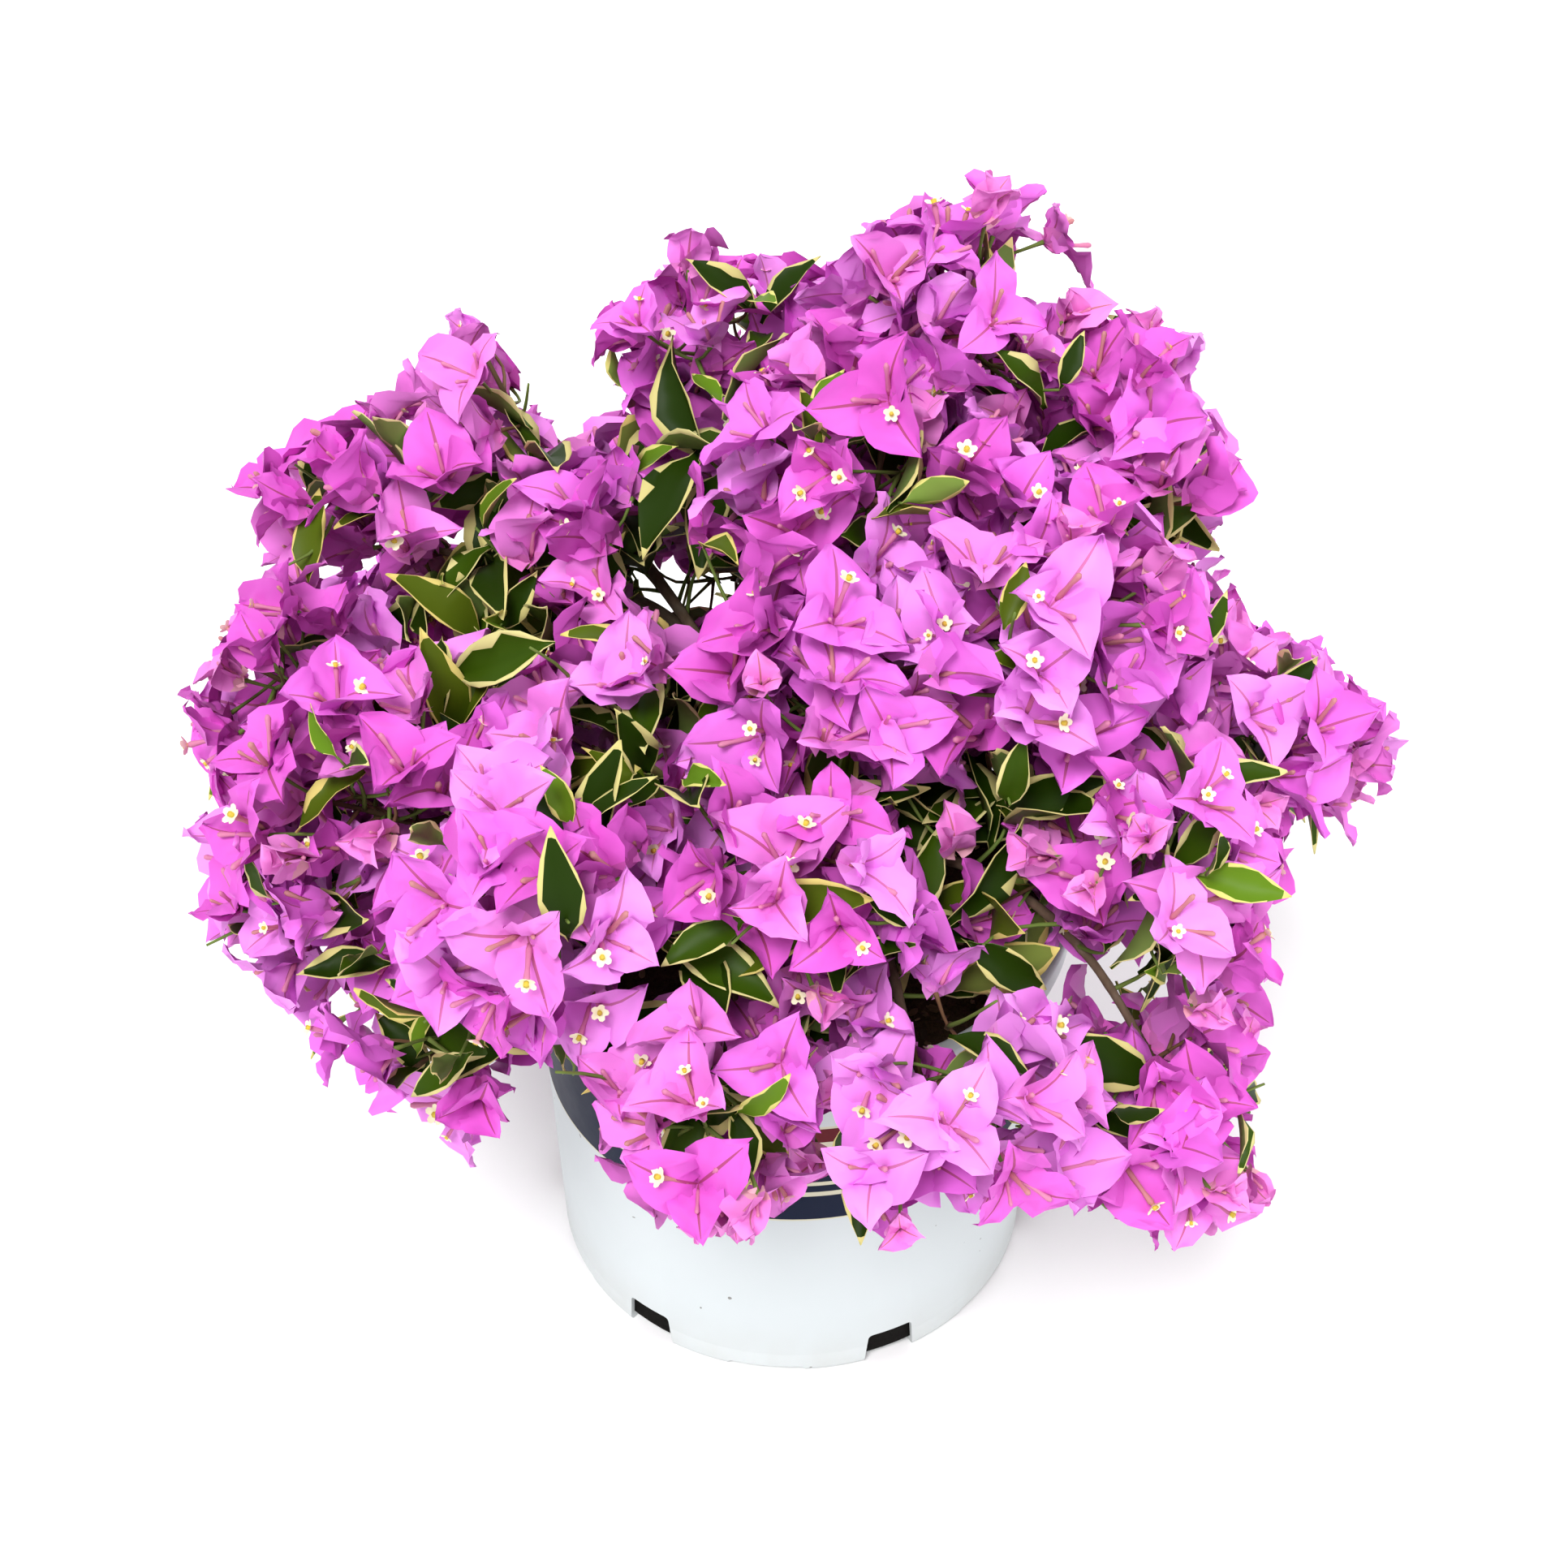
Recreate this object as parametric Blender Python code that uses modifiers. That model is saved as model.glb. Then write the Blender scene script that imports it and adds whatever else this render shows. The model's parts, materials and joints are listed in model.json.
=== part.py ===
"""A variegated bougainvillea in full flower, standing in a round plastic nursery pot.

Z is up, the pot's flat underside lies on Z = 0 with its centre at the origin, and -Y is the front. All sizes
are in metres and all angles in degrees. The pot holds the potting soil, a short trunk stands on the soil, and
one bough for each mass of bloom leaves the trunk or another bough. Every mass is one solid: a stem that
carries on from its bough's tip, twigs that branch from the stem, and bracts and leaves fused to the twigs.
"""

import itertools
import math
import random
from collections import namedtuple

import bmesh
import bpy
import numpy as np
from mathutils import Matrix, Vector

GAP = 0.0003  # left between neighbouring solids

# The pot
POT_HEIGHT = 0.220
RIM_RADIUS = 0.1355
RIM_DEPTH = 0.014
WALL_TOP_RADIUS = 0.1275
WALL_FOOT_RADIUS = 0.1215
WALL_THICKNESS = 0.0024
FLOOR_THICKNESS = 0.003
RIM_ROUNDING = 0.0015
FOOT_ROUNDING = 0.0035
POT_STEPS = 36
SLOT_COUNT = 6  # drain slots round the foot, with a shallow relief between each two
SLOT_WIDTH = 0.026
SLOT_HEIGHT = 0.018
SLOT_DEPTH = 0.008
FIRST_SLOT_ANGLE = -68.0
RELIEF_WIDTH = 0.040
RELIEF_HEIGHT = 0.004
CUTTER_LENGTH = 0.030

# The soil
SOIL_TOP = POT_HEIGHT - 0.016
SOIL_FLAT_RADIUS = 0.030
SOIL_EDGE_DROP = 0.004

# The limbs: radii at the start and at the tip
TRUNK_TOP = 0.292
TRUNK_LEAN = (-0.004, 0.006)
TRUNK_CROOK = 0.002
CROOK_TURN = 2.1
TRUNK_RADIUS = 0.0105
TRUNK_TIP_RADIUS = 0.0085
ROOT_FLARE = 1.6
ROOT_FLARE_HEIGHT = 0.0075
BOUGH_RADII = (0.0036, 0.0021)
SIDE_BOUGH_RADII = (0.0028, 0.0018)
STEM_RADII = (0.0018, 0.0011)
TWIG_RADII = (0.0012, 0.0010, 0.0022)
TRUNK_POINTS = 6
TRUNK_RESOLUTION = 3
BOUGH_POINTS = 6
BOUGH_RESOLUTION = 1
STEM_POINTS = 4

# How a bough runs: its curve's two handles lie at shares of the straight run, raised by shares of its length
HANDLES = ((0.33, 0.10), (0.72, 0.14))
RIM_LIFT = 0.035  # the extra rise over the rim of a bough whose mass is low
LOW_END = 0.05  # over the rim, below which an end is low
FORK_RANGE = (0.25, 0.98)
FOOT_SHARE = 0.8  # of its parent's radius, the most that a bough starts with
BOW_STEP = 0.012
FORK_STEP = 0.05
BOW_TRIES = (0, 1, -1, 2, -2, 3, -3, 4, -4)
FORK_TRIES = (0, -1, 1, -2, 2, -3, 3, -4, 4, -5, 5)
LIMB_CLEARANCE = 0.0012
LIMB_SAMPLES = 40
SKIN_SIDES = 8
LATEST_CLEAR_SAMPLE = 16  # by which a bough must have left its parent's side
RIM_CLEARANCE = 0.007
RIM_OVERHANG = 0.012
FORK_RADIUS = 0.03  # round the trunk, where a bough may be low

# Where a bough ends and a mass's stem begins, in shares of the mass's spread
CROWN_HEART = (0.0, 0.02, 0.22)
ENTRY_DEPTH = 0.62
HANGING_HEIGHT = 0.275  # masses whose centre is below this are met from above
HANGING_RANGE = 0.045
HANGING_TURN = 0.55
STEM_KNEE = 0.12
STEM_HANDLE = 0.2
STEM_REACH = 0.35

# Blooms and leaves. A bloom is a cup of bracts round its axis, with short webs between them.
BRACTS_PER_BLOOM = 3
BRACT_LENGTH = 0.045
BRACT_WIDTH = 0.036
BRACT_WIDEST = 0.42  # of its length, from the base
BRACT_FOLD = 0.003
BRACT_SPREAD = 58.0  # between the bloom's axis and its bracts
SPREAD_CHANGE = 9.0
BRACT_SCALES = (1.0, 0.85, 0.7)  # tried in turn until the bract fits; where none does, its bloom is skipped
THROAT_HEIGHT = 0.0012  # of a cup's inner face over the twig's end
WEB_REACH = 0.005
LEAF_LENGTH = 0.052
LEAF_WIDTH = 0.026
LEAF_WIDEST = 0.45
LEAF_THICKNESS = 0.0012
LEAF_SPREADS = (35.0, 70.0)
LEAF_FOLD = 0.004
LEAF_DROOP = 0.006

# The growth of a mass
BLOOMS_PER_MASS = 9
LEAVES_PER_MASS = 2
BLOOM_TRIES = 70
LEAF_TRIES = 80
BLOOM_SPACING = 0.036
BLADE_SPACING = 0.0045
BLOOM_DEPTHS = (0.40, 0.55, 0.70, 0.85, 1.00, 1.15)  # below the mass's surface, in bract lengths
BLOOM_FACING = (0.5, 0.6, 0.3, 0.3)  # a bloom's axis: shares of its own way out, the mass's, up, and chance
TWIG_FORK = (0.25, 0.9, 0.55)  # where a twig leaves the stem: the least, the most, and the share of its reach
TWIG_BEND = (0.25, 0.6)
LEAF_PLACES = (0.35, 0.80)  # along its twig
LEAF_UPWARD = 0.6
BLADE_CLEARANCE = 0.0016
TWIG_CLEARANCE = 0.0030
POT_CLEARANCE = 0.004
CELL_GAP = 0.0004
TWIG_CELL_GAP = 0.0026
SAMPLE_STEPS = 6
TWIG_SAMPLES = 10
GOLDEN_ANGLE = 137.508

# One branch for each mass: its centre, its spread (the radius of the space it may fill) and its stretch,
# which is how far that space is drawn out, away from the trunk. Its bough leaves parent at fork, a share of
# the parent's length.
Branch = namedtuple("Branch", "name x y z spread stretch parent fork")
BRANCHES = [
    Branch("upper_middle", 0.035, 0.020, 0.435, 0.066, 1.0, "trunk", 0.98),
    Branch("crown_top", 0.078, 0.095, 0.486, 0.060, 1.0, "upper_middle", 0.45),
    Branch("back_crown", -0.043, 0.130, 0.440, 0.064, 1.0, "upper_middle", 0.35),
    Branch("right_middle", 0.103, -0.045, 0.402, 0.067, 1.0, "trunk", 0.90),
    Branch("right_shoulder", 0.160, 0.050, 0.430, 0.066, 1.0, "right_middle", 0.45),
    Branch("right", 0.150, -0.110, 0.325, 0.065, 1.0, "trunk", 0.70),
    Branch("far_right", 0.215, -0.025, 0.322, 0.061, 1.1, "right", 0.40),
    Branch("right_hanging", 0.170, -0.140, 0.208, 0.064, 1.0, "front_right", 0.50),
    Branch("front_right", 0.060, -0.185, 0.262, 0.063, 1.0, "trunk", 0.60),
    Branch("front_middle", -0.035, -0.200, 0.262, 0.063, 1.0, "centre_front", 0.50),
    Branch("centre_front", 0.000, -0.130, 0.325, 0.060, 1.0, "trunk", 0.65),
    Branch("centre", 0.018, -0.055, 0.375, 0.063, 1.0, "trunk", 0.92),
    Branch("centre_left", -0.075, -0.050, 0.335, 0.060, 1.0, "trunk", 0.75),
    Branch("front_left", -0.105, -0.145, 0.340, 0.062, 1.0, "trunk", 0.55),
    Branch("left_front", -0.180, -0.080, 0.335, 0.063, 1.0, "trunk", 0.80),
    Branch("left_low", -0.230, -0.060, 0.262, 0.060, 1.0, "left_front", 0.60),
    Branch("left_hanging", -0.155, -0.125, 0.230, 0.064, 1.0, "front_left", 0.50),
    Branch("left_middle", -0.228, 0.010, 0.335, 0.061, 1.0, "inner_left", 0.55),
    Branch("inner_left", -0.118, 0.045, 0.360, 0.064, 1.0, "trunk", 0.90),
    Branch("left_back", -0.190, 0.080, 0.388, 0.060, 1.1, "inner_left", 0.40),
    Branch("left_tall", -0.135, 0.130, 0.415, 0.058, 1.0, "back_left", 0.40),
    Branch("back_left", -0.110, 0.190, 0.330, 0.068, 1.0, "trunk", 0.75),
    Branch("back_middle", 0.020, 0.200, 0.360, 0.068, 1.0, "trunk", 0.90),
    Branch("back_right", 0.140, 0.155, 0.365, 0.068, 1.0, "trunk", 0.80),
    Branch("back_far_right", 0.225, 0.080, 0.280, 0.068, 1.0, "trunk", 0.60),
    Branch("back_low_left", -0.185, 0.140, 0.240, 0.072, 1.0, "back_left", 0.50),
    Branch("back_low", -0.030, 0.235, 0.230, 0.076, 1.0, "back_middle", 0.50),
    Branch("back_low_right", 0.130, 0.200, 0.230, 0.074, 1.0, "back_right", 0.50),
]

# A limb's line, its radius at each point, and the bevel resolution of its tube
Limb = namedtuple("Limb", "points radii resolution", defaults=(0,))


def clear_scene():
    for old in list(bpy.data.objects):
        bpy.data.objects.remove(old)


def new_collection(name):
    made = bpy.data.collections.new(name)
    bpy.context.scene.collection.children.link(made)
    return made


def new_material(name, colour, roughness):
    made = bpy.data.materials.new(name)
    made.use_nodes = True
    shader = made.node_tree.nodes["Principled BSDF"]
    shader.inputs["Base Color"].default_value = (*colour, 1.0)
    shader.inputs["Roughness"].default_value = roughness
    shader.inputs["Metallic"].default_value = 0.0
    return made


def add_object(name, data, collection, material=None):
    made = bpy.data.objects.new(name, data)
    collection.objects.link(made)
    if material is not None:
        data.materials.append(material)
    return made


# ---------------------------------------------------------------- the pot and its soil


def turned(name, profile, collection, material):
    """A solid of revolution round Z. Its profile, of (radius, height), ends at its axis underneath."""
    mesh = bpy.data.meshes.new(name)
    mesh.from_pydata([(r, 0, z) for r, z in profile], [(i, i + 1) for i in range(len(profile) - 1)], [])
    made = add_object(name, mesh, collection, material)
    screw = made.modifiers.new("turn", "SCREW")
    screw.axis = "Z"
    screw.steps = POT_STEPS
    screw.render_steps = POT_STEPS
    screw.use_merge_vertices = True
    screw.merge_threshold = 0.00001
    return made


def wall_radius(height):
    """The wall's outer radius at a height above the ground."""
    share = height / POT_HEIGHT
    return WALL_FOOT_RADIUS + (WALL_TOP_RADIUS - WALL_FOOT_RADIUS) * share


def pot_profile():
    inside = [
        (0.0, FLOOR_THICKNESS),
        (wall_radius(FLOOR_THICKNESS) - WALL_THICKNESS, FLOOR_THICKNESS),
        (WALL_TOP_RADIUS - WALL_THICKNESS, POT_HEIGHT),
    ]
    rim_foot = POT_HEIGHT - RIM_DEPTH
    rim = [
        (RIM_RADIUS - RIM_ROUNDING, POT_HEIGHT),
        (RIM_RADIUS, POT_HEIGHT - RIM_ROUNDING),
        (RIM_RADIUS, rim_foot + RIM_ROUNDING),
        (RIM_RADIUS - RIM_ROUNDING, rim_foot),
        (wall_radius(rim_foot), rim_foot - RIM_ROUNDING),
    ]
    corner = wall_radius(FOOT_ROUNDING) - FOOT_ROUNDING
    foot = [
        (corner + FOOT_ROUNDING * math.cos(math.radians(a)), FOOT_ROUNDING * (1 + math.sin(math.radians(a))))
        for a in (0, -30, -60, -90)
    ]
    return inside + rim + foot + [(0.0, 0.0)]


def cut_round_foot(pot, cutters, name, angle, width, height, depth):
    """A notch cut in the pot's foot from the outside, at an angle round the pot."""
    middle = WALL_FOOT_RADIUS - depth + CUTTER_LENGTH / 2
    bpy.ops.mesh.primitive_cube_add(size=1.0)
    cutter = bpy.context.object
    cutter.name = name
    turn = Matrix.Rotation(math.radians(angle), 4, "Z")
    size = Matrix.Diagonal((CUTTER_LENGTH, width, 2 * height, 1.0))
    cutter.data.transform(turn @ Matrix.Translation((middle, 0, 0)) @ size)
    for old in list(cutter.users_collection):
        old.objects.unlink(cutter)
    cutters.objects.link(cutter)
    cutter.hide_render = True
    cutter.display_type = "WIRE"
    cut = pot.modifiers.new(name, "BOOLEAN")
    cut.operation = "DIFFERENCE"
    cut.solver = "EXACT"
    cut.object = cutter


def make_pot(collection, cutters, material):
    pot = turned("pot", pot_profile(), collection, material)
    pitch = 360.0 / SLOT_COUNT
    for i in range(SLOT_COUNT):
        angle = FIRST_SLOT_ANGLE + pitch * i
        cut_round_foot(pot, cutters, f"slot_{i}", angle, SLOT_WIDTH, SLOT_HEIGHT, SLOT_DEPTH)
        between = angle + pitch / 2
        cut_round_foot(pot, cutters, f"relief_{i}", between, RELIEF_WIDTH, RELIEF_HEIGHT, SLOT_DEPTH)
    return pot


def make_soil(collection, material):
    """The potting soil fills the pot, a little domed towards the trunk, clear of the wall by the gap."""
    clear = WALL_THICKNESS + GAP
    floor = FLOOR_THICKNESS + GAP
    edge = SOIL_TOP - SOIL_EDGE_DROP
    profile = [
        (0.0, SOIL_TOP),
        (SOIL_FLAT_RADIUS, SOIL_TOP),
        (wall_radius(edge) - clear, edge),
        (wall_radius(floor) - clear, floor),
        (0.0, floor),
    ]
    return turned("soil", profile, collection, material)


# ---------------------------------------------------------------- the limbs


def bezier(a, b, c, d, count):
    """Points spaced evenly along the parameter of a cubic curve."""
    found = []
    for i in range(count):
        t = i / (count - 1)
        u = 1 - t
        found.append(a * u**3 + b * (3 * u * u * t) + c * (3 * u * t * t) + d * t**3)
    return found


def tapered(radii, count):
    """A radius for each of count points, spread evenly between the ones given."""
    places = np.linspace(0, len(radii) - 1, count)
    return [float(r) for r in np.interp(places, range(len(radii)), radii)]


def tube_mesh(name, limb, grow=0.0):
    """A closed mesh of a tapering tube: a curve with a radius at each point."""
    curve = bpy.data.curves.new(name, "CURVE")
    curve.dimensions = "3D"
    curve.bevel_depth = 1.0
    curve.bevel_resolution = limb.resolution
    curve.use_fill_caps = True
    spline = curve.splines.new("POLY")
    spline.points.add(len(limb.points) - 1)
    for point, place, radius in zip(spline.points, limb.points, limb.radii):
        point.co = (*place, 1.0)
        point.radius = radius + grow
    holder = bpy.data.objects.new(name, curve)
    bpy.context.scene.collection.objects.link(holder)
    bpy.context.view_layer.update()
    graph = bpy.context.evaluated_depsgraph_get()
    mesh = bpy.data.meshes.new_from_object(holder.evaluated_get(graph))
    bpy.data.objects.remove(holder)
    work = bmesh.new()
    work.from_mesh(mesh)
    bmesh.ops.remove_doubles(work, verts=work.verts, dist=0.00002)
    bmesh.ops.recalc_face_normals(work, faces=work.faces)
    work.to_mesh(mesh)
    work.free()
    return mesh


def centre_of(branch):
    return Vector((branch.x, branch.y, branch.z))


def outward_of(branch):
    """The way that a mass grows: away from the crown's heart."""
    return (centre_of(branch) - Vector(CROWN_HEART)).normalized()


def entry_of(branch):
    """Where the bough meets its mass: behind the centre, and from above where the mass hangs."""
    hangs = min(1.0, max(0.0, (HANGING_HEIGHT - branch.z) / HANGING_RANGE))
    back = -outward_of(branch).lerp(Vector((0, 0, -1)), HANGING_TURN * hangs)
    return centre_of(branch) + back.normalized() * branch.spread * ENTRY_DEPTH


def along(points, share):
    """(point, direction) at a share of a polyline's length."""
    steps = [(b - a).length for a, b in zip(points, points[1:])]
    left = share * sum(steps)
    for a, b, step in zip(points, points[1:], steps):
        if left <= step:
            return a.lerp(b, left / step), (b - a).normalized()
        left -= step
    return points[-1], (points[-1] - points[-2]).normalized()


def radius_along(limb, share):
    return float(np.interp(share, np.linspace(0, 1, len(limb.radii)), limb.radii))


def segments_of(limbs):
    """The limbs' segments as arrays: their starts, their runs, and the radii at both ends."""
    starts = np.array([p for limb in limbs for p in limb.points[:-1]])
    ends = np.array([p for limb in limbs for p in limb.points[1:]])
    first = np.array([r for limb in limbs for r in limb.radii[:-1]])
    last = np.array([r for limb in limbs for r in limb.radii[1:]])
    return starts, ends - starts, first, last


def gaps_to(points, segments):
    """For each point, the gap to the nearest surface of the segments of one or more limbs."""
    starts, runs, first, last = segments
    p = np.array(points)[:, None] - starts[None]
    t = np.clip((p * runs).sum(2) / (runs * runs).sum(1), 0, 1)
    gap = np.linalg.norm(p - runs * t[..., None], axis=2) - (first + (last - first) * t)
    return gap.min(axis=1)


def clears_pot(points, margin):
    """True if every point is above the rim or outside it."""
    return all(p[2] > POT_HEIGHT + margin or math.hypot(p[0], p[1]) > RIM_RADIUS + margin for p in points)


def trunk_limb():
    foot = Vector((0, 0, SOIL_TOP + GAP))
    tip = Vector((*TRUNK_LEAN, TRUNK_TOP))
    points = [foot.lerp(tip, i / (TRUNK_POINTS - 1)) for i in range(TRUNK_POINTS)]
    for i in range(2, TRUNK_POINTS - 1):
        points[i].x += TRUNK_CROOK * math.sin(i * CROOK_TURN)
    radii = tapered((TRUNK_RADIUS, TRUNK_TIP_RADIUS), TRUNK_POINTS)
    points[1] = foot + Vector((0, 0, ROOT_FLARE_HEIGHT))
    radii[0] *= ROOT_FLARE
    return Limb(points, radii, TRUNK_RESOLUTION)


def bough_points(branch, parent, fork, bow):
    """A bough's line: up and out from its parent, bowed aside by bow, over the rim and on to its mass."""
    start, _ = along(parent.points, fork)
    end = entry_of(branch)
    run = end - start
    outward = Vector((run.x, run.y, 0)).normalized()
    side = Vector((-outward.y, outward.x, 0))
    lift = RIM_LIFT if end.z < POT_HEIGHT + LOW_END else 0.0
    handles = []
    for share, rise in HANDLES:
        up = rise * run.length + lift
        handles.append(start + run * share + Vector((0, 0, up)) + side * bow)
    return bezier(start, *handles, end, BOUGH_POINTS)


def stem_limb(branch, entry, arrival):
    """A mass's own stem: on from the bough's tip through the centre, towards its outer side."""
    centre = centre_of(branch)
    start = entry + arrival * GAP
    knee = start + arrival * branch.spread * STEM_KNEE
    handle = knee + arrival * branch.spread * STEM_HANDLE
    tip = centre + outward_of(branch) * branch.spread * branch.stretch * STEM_REACH
    points = [start] + bezier(knee, handle, centre, tip, STEM_POINTS)
    return Limb(points, tapered(STEM_RADII, len(points)))


def skin_of(limb):
    """Points over a limb's surface."""
    found = []
    for i in range(LIMB_SAMPLES + 1):
        place, onward = along(limb.points, i / LIMB_SAMPLES)
        out = onward.orthogonal().normalized() * radius_along(limb, i / LIMB_SAMPLES)
        turns = [2 * math.pi * k / SKIN_SIDES for k in range(SKIN_SIDES)]
        found += [place + Matrix.Rotation(turn, 3, onward) @ out for turn in turns]
    return found


def room_round(limb, stem, branch, parent, boughs, stems):
    """The least gap between a new bough with its stem and the limbs already there. It is nothing where the
    bough stays at its parent's side or runs too low over the rim, or its stem leaves the mass's own space."""
    shares = [i / LIMB_SAMPLES for i in range(LIMB_SAMPLES + 1)]
    fine = [along(limb.points, share)[0] for share in shares]
    thick = np.array([radius_along(limb, share) for share in shares])
    from_parent = gaps_to(fine, segments_of([parent])) - thick
    free = int(np.argmax(from_parent > LIMB_CLEARANCE))
    if from_parent.max() < LIMB_CLEARANCE or free > LATEST_CLEAR_SAMPLE:
        return 0.0
    for place in fine:
        out = math.hypot(place.x, place.y)
        if FORK_RADIUS < out < RIM_RADIUS + RIM_OVERHANG and place.z < POT_HEIGHT + RIM_CLEARANCE:
            return 0.0
    normals, offsets = cell_of(branch)
    if (np.array(stem.points) @ normals.T > offsets - TWIG_CELL_GAP).any():
        return 0.0
    rooms = [from_parent[free:].min()]
    skin = np.array(skin_of(limb))
    tip, onward = along(parent.points, 1.0)
    beyond_tip = (skin - np.array(tip)) @ np.array(onward) > 0
    bare = skin[(gaps_to(skin, segments_of([parent])) > 0) | beyond_tip]
    for others in ([b for b in boughs.values() if b is not parent], list(stems.values())):
        if others:
            rooms.append(gaps_to(bare, segments_of(others)).min())
    standing = segments_of(list(boughs.values()) + list(stems.values()))
    rooms.append(gaps_to(stem.points, standing).min() - stem.radii[0])
    return min(rooms)


def plan_limbs():
    """The trunk's limb, each bough's and each mass's stem. A bough is bowed, or moved along its parent, until
    it is clear of the limbs before it."""
    boughs = {"trunk": trunk_limb()}
    stems = {}
    waiting = list(BRANCHES)
    while waiting:
        branch = next(b for b in waiting if b.parent in boughs)
        waiting.remove(branch)
        parent = boughs[branch.parent]
        radii = BOUGH_RADII if branch.parent == "trunk" else SIDE_BOUGH_RADII
        best = None
        for bow, shift in itertools.product(BOW_TRIES, FORK_TRIES):
            fork = min(FORK_RANGE[1], max(FORK_RANGE[0], branch.fork + FORK_STEP * shift))
            points = bough_points(branch, parent, fork, BOW_STEP * bow)
            start = min(radii[0], FOOT_SHARE * radius_along(parent, fork))
            limb = Limb(points, tapered((start, min(start, radii[1])), BOUGH_POINTS), BOUGH_RESOLUTION)
            stem = stem_limb(branch, points[-1], (points[-1] - points[-2]).normalized())
            room = room_round(limb, stem, branch, parent, boughs, stems)
            if best is None or room > best[0]:
                best = (room, limb, stem)
            if room >= LIMB_CLEARANCE:
                break
        boughs[branch.name] = best[1]
        stems[branch.name] = best[2]
    return boughs, stems


def make_limb(name, limb, collection, material, parent=None, cutters=None):
    """The solid of a trunk or bough. A bough is trimmed so that its foot hugs its parent's side."""
    made = add_object(name, tube_mesh(name, limb), collection, material)
    if parent is not None:
        points = [Vector(p) for p in parent.points]
        points[0] += (points[0] - points[1]).normalized() * GAP
        points[-1] += (points[-1] - points[-2]).normalized() * GAP
        cutter_mesh = tube_mesh(f"cut_{name}", parent._replace(points=points), grow=GAP)
        cutter = add_object(f"cut_{name}", cutter_mesh, cutters)
        cutter.hide_render = True
        cutter.display_type = "WIRE"
        trim = made.modifiers.new("trim", "BOOLEAN")
        trim.operation = "DIFFERENCE"
        trim.solver = "EXACT"
        trim.object = cutter
    return made


# ---------------------------------------------------------------- the masses of bloom and leaf


def leaf_mesh():
    """A leaf of eight faces, from its base at the origin along +X, its upper face towards +Z."""
    work = bmesh.new()
    bmesh.ops.create_uvsphere(work, u_segments=4, v_segments=2, radius=1.0)
    for vert in work.verts:
        x, y, z = vert.co
        if abs(x) > 0.5:
            vert.co = (LEAF_LENGTH, 0, -LEAF_DROOP) if x > 0 else (0, 0, 0)
        elif abs(y) > 0.5:
            vert.co = (LEAF_LENGTH * LEAF_WIDEST, LEAF_WIDTH / 2 * y, LEAF_FOLD)
        else:
            vert.co = (LEAF_LENGTH * LEAF_WIDEST, 0, LEAF_THICKNESS / 2 * z)
    mesh = bpy.data.meshes.new("leaf")
    work.to_mesh(mesh)
    work.free()
    return mesh


def leaf_corners(matrix):
    """A leaf's base, left side, right side and tip."""
    across = LEAF_LENGTH * LEAF_WIDEST
    local = [
        (0, 0, 0),
        (across, LEAF_WIDTH / 2, LEAF_FOLD),
        (across, -LEAF_WIDTH / 2, LEAF_FOLD),
        (LEAF_LENGTH, 0, -LEAF_DROOP),
    ]
    return [matrix @ Vector(p) for p in local]


def bract_corners(matrix, k, spread, scale):
    """The base, left side, right side and tip of bract k of a cup whose axis is the matrix's Z."""
    turn = 2 * math.pi * k / BRACTS_PER_BLOOM
    radial = Vector((math.cos(turn), math.sin(turn), 0))
    across = Vector((-radial.y, radial.x, 0)) * BRACT_WIDTH / 2 * scale
    axis = Vector((0, 0, 1))
    forward = axis * math.cos(spread) + radial * math.sin(spread)
    upper = axis * math.sin(spread) - radial * math.cos(spread)
    middle = forward * BRACT_LENGTH * BRACT_WIDEST * scale + upper * BRACT_FOLD
    local = [Vector((0, 0, 0)), middle - across, middle + across, forward * BRACT_LENGTH * scale]
    return [matrix @ p for p in local]


def twig_rings(work, twig, matrix, sides):
    """The corners of a twig's three rings: two square to its first run and one square to the bloom's axis."""
    run = (twig.points[1] - twig.points[0]).normalized()
    rings = []
    for place, radius, axis in zip(twig.points, twig.radii, (run, run, matrix.col[2].xyz)):
        base = frame_at(place, matrix.col[0].xyz - axis * axis.dot(matrix.col[0].xyz), axis)
        turns = [2 * math.pi * k / sides for k in range(sides)]
        corners = [base @ Vector((radius * math.cos(t), radius * math.sin(t), 0)) for t in turns]
        rings.append([work.verts.new(corner) for corner in corners])
    return rings


def bloom_mesh(twig, matrix, bracts):
    """A twig and the cup of bracts at its end, as one solid: a loft from the twig to the cup's outline, which
    has four points for each bract (its left side, tip and right side, and the web to the next)."""
    sides = len(bracts)
    spread = math.radians(BRACT_SPREAD)
    work = bmesh.new()
    bottom, middle, top = twig_rings(work, twig, matrix, sides)
    outline = []
    for k, (_, left, right, tip) in enumerate(bracts):
        turn = 2 * math.pi * (k + 0.5) / sides
        out = WEB_REACH * math.sin(spread)
        web = Vector((out * math.cos(turn), out * math.sin(turn), WEB_REACH * math.cos(spread)))
        outline += [work.verts.new(p) for p in (left, tip, right, matrix @ web)]
    throat = work.verts.new(matrix @ Vector((0, 0, THROAT_HEIGHT)))
    work.faces.new(bottom[::-1])
    for k in range(sides):
        after = (k + 1) % sides
        for low, high in ((bottom, middle), (middle, top)):
            work.faces.new((low[k], low[after], high[after], high[k]))
        left, tip, right, web = outline[4 * k : 4 * k + 4]
        onward = outline[(4 * k + 4) % len(outline)]
        for a, b in ((left, tip), (tip, right), (right, web)):
            work.faces.new((top[k], b, a))
        work.faces.new((top[after], onward, web))
        work.faces.new((top[k], top[after], web))
        for a, b in ((left, tip), (tip, right), (right, web), (web, onward)):
            work.faces.new((throat, a, b))
    bmesh.ops.recalc_face_normals(work, faces=work.faces)
    mesh = bpy.data.meshes.new("bloom")
    work.to_mesh(mesh)
    work.free()
    return mesh


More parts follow.
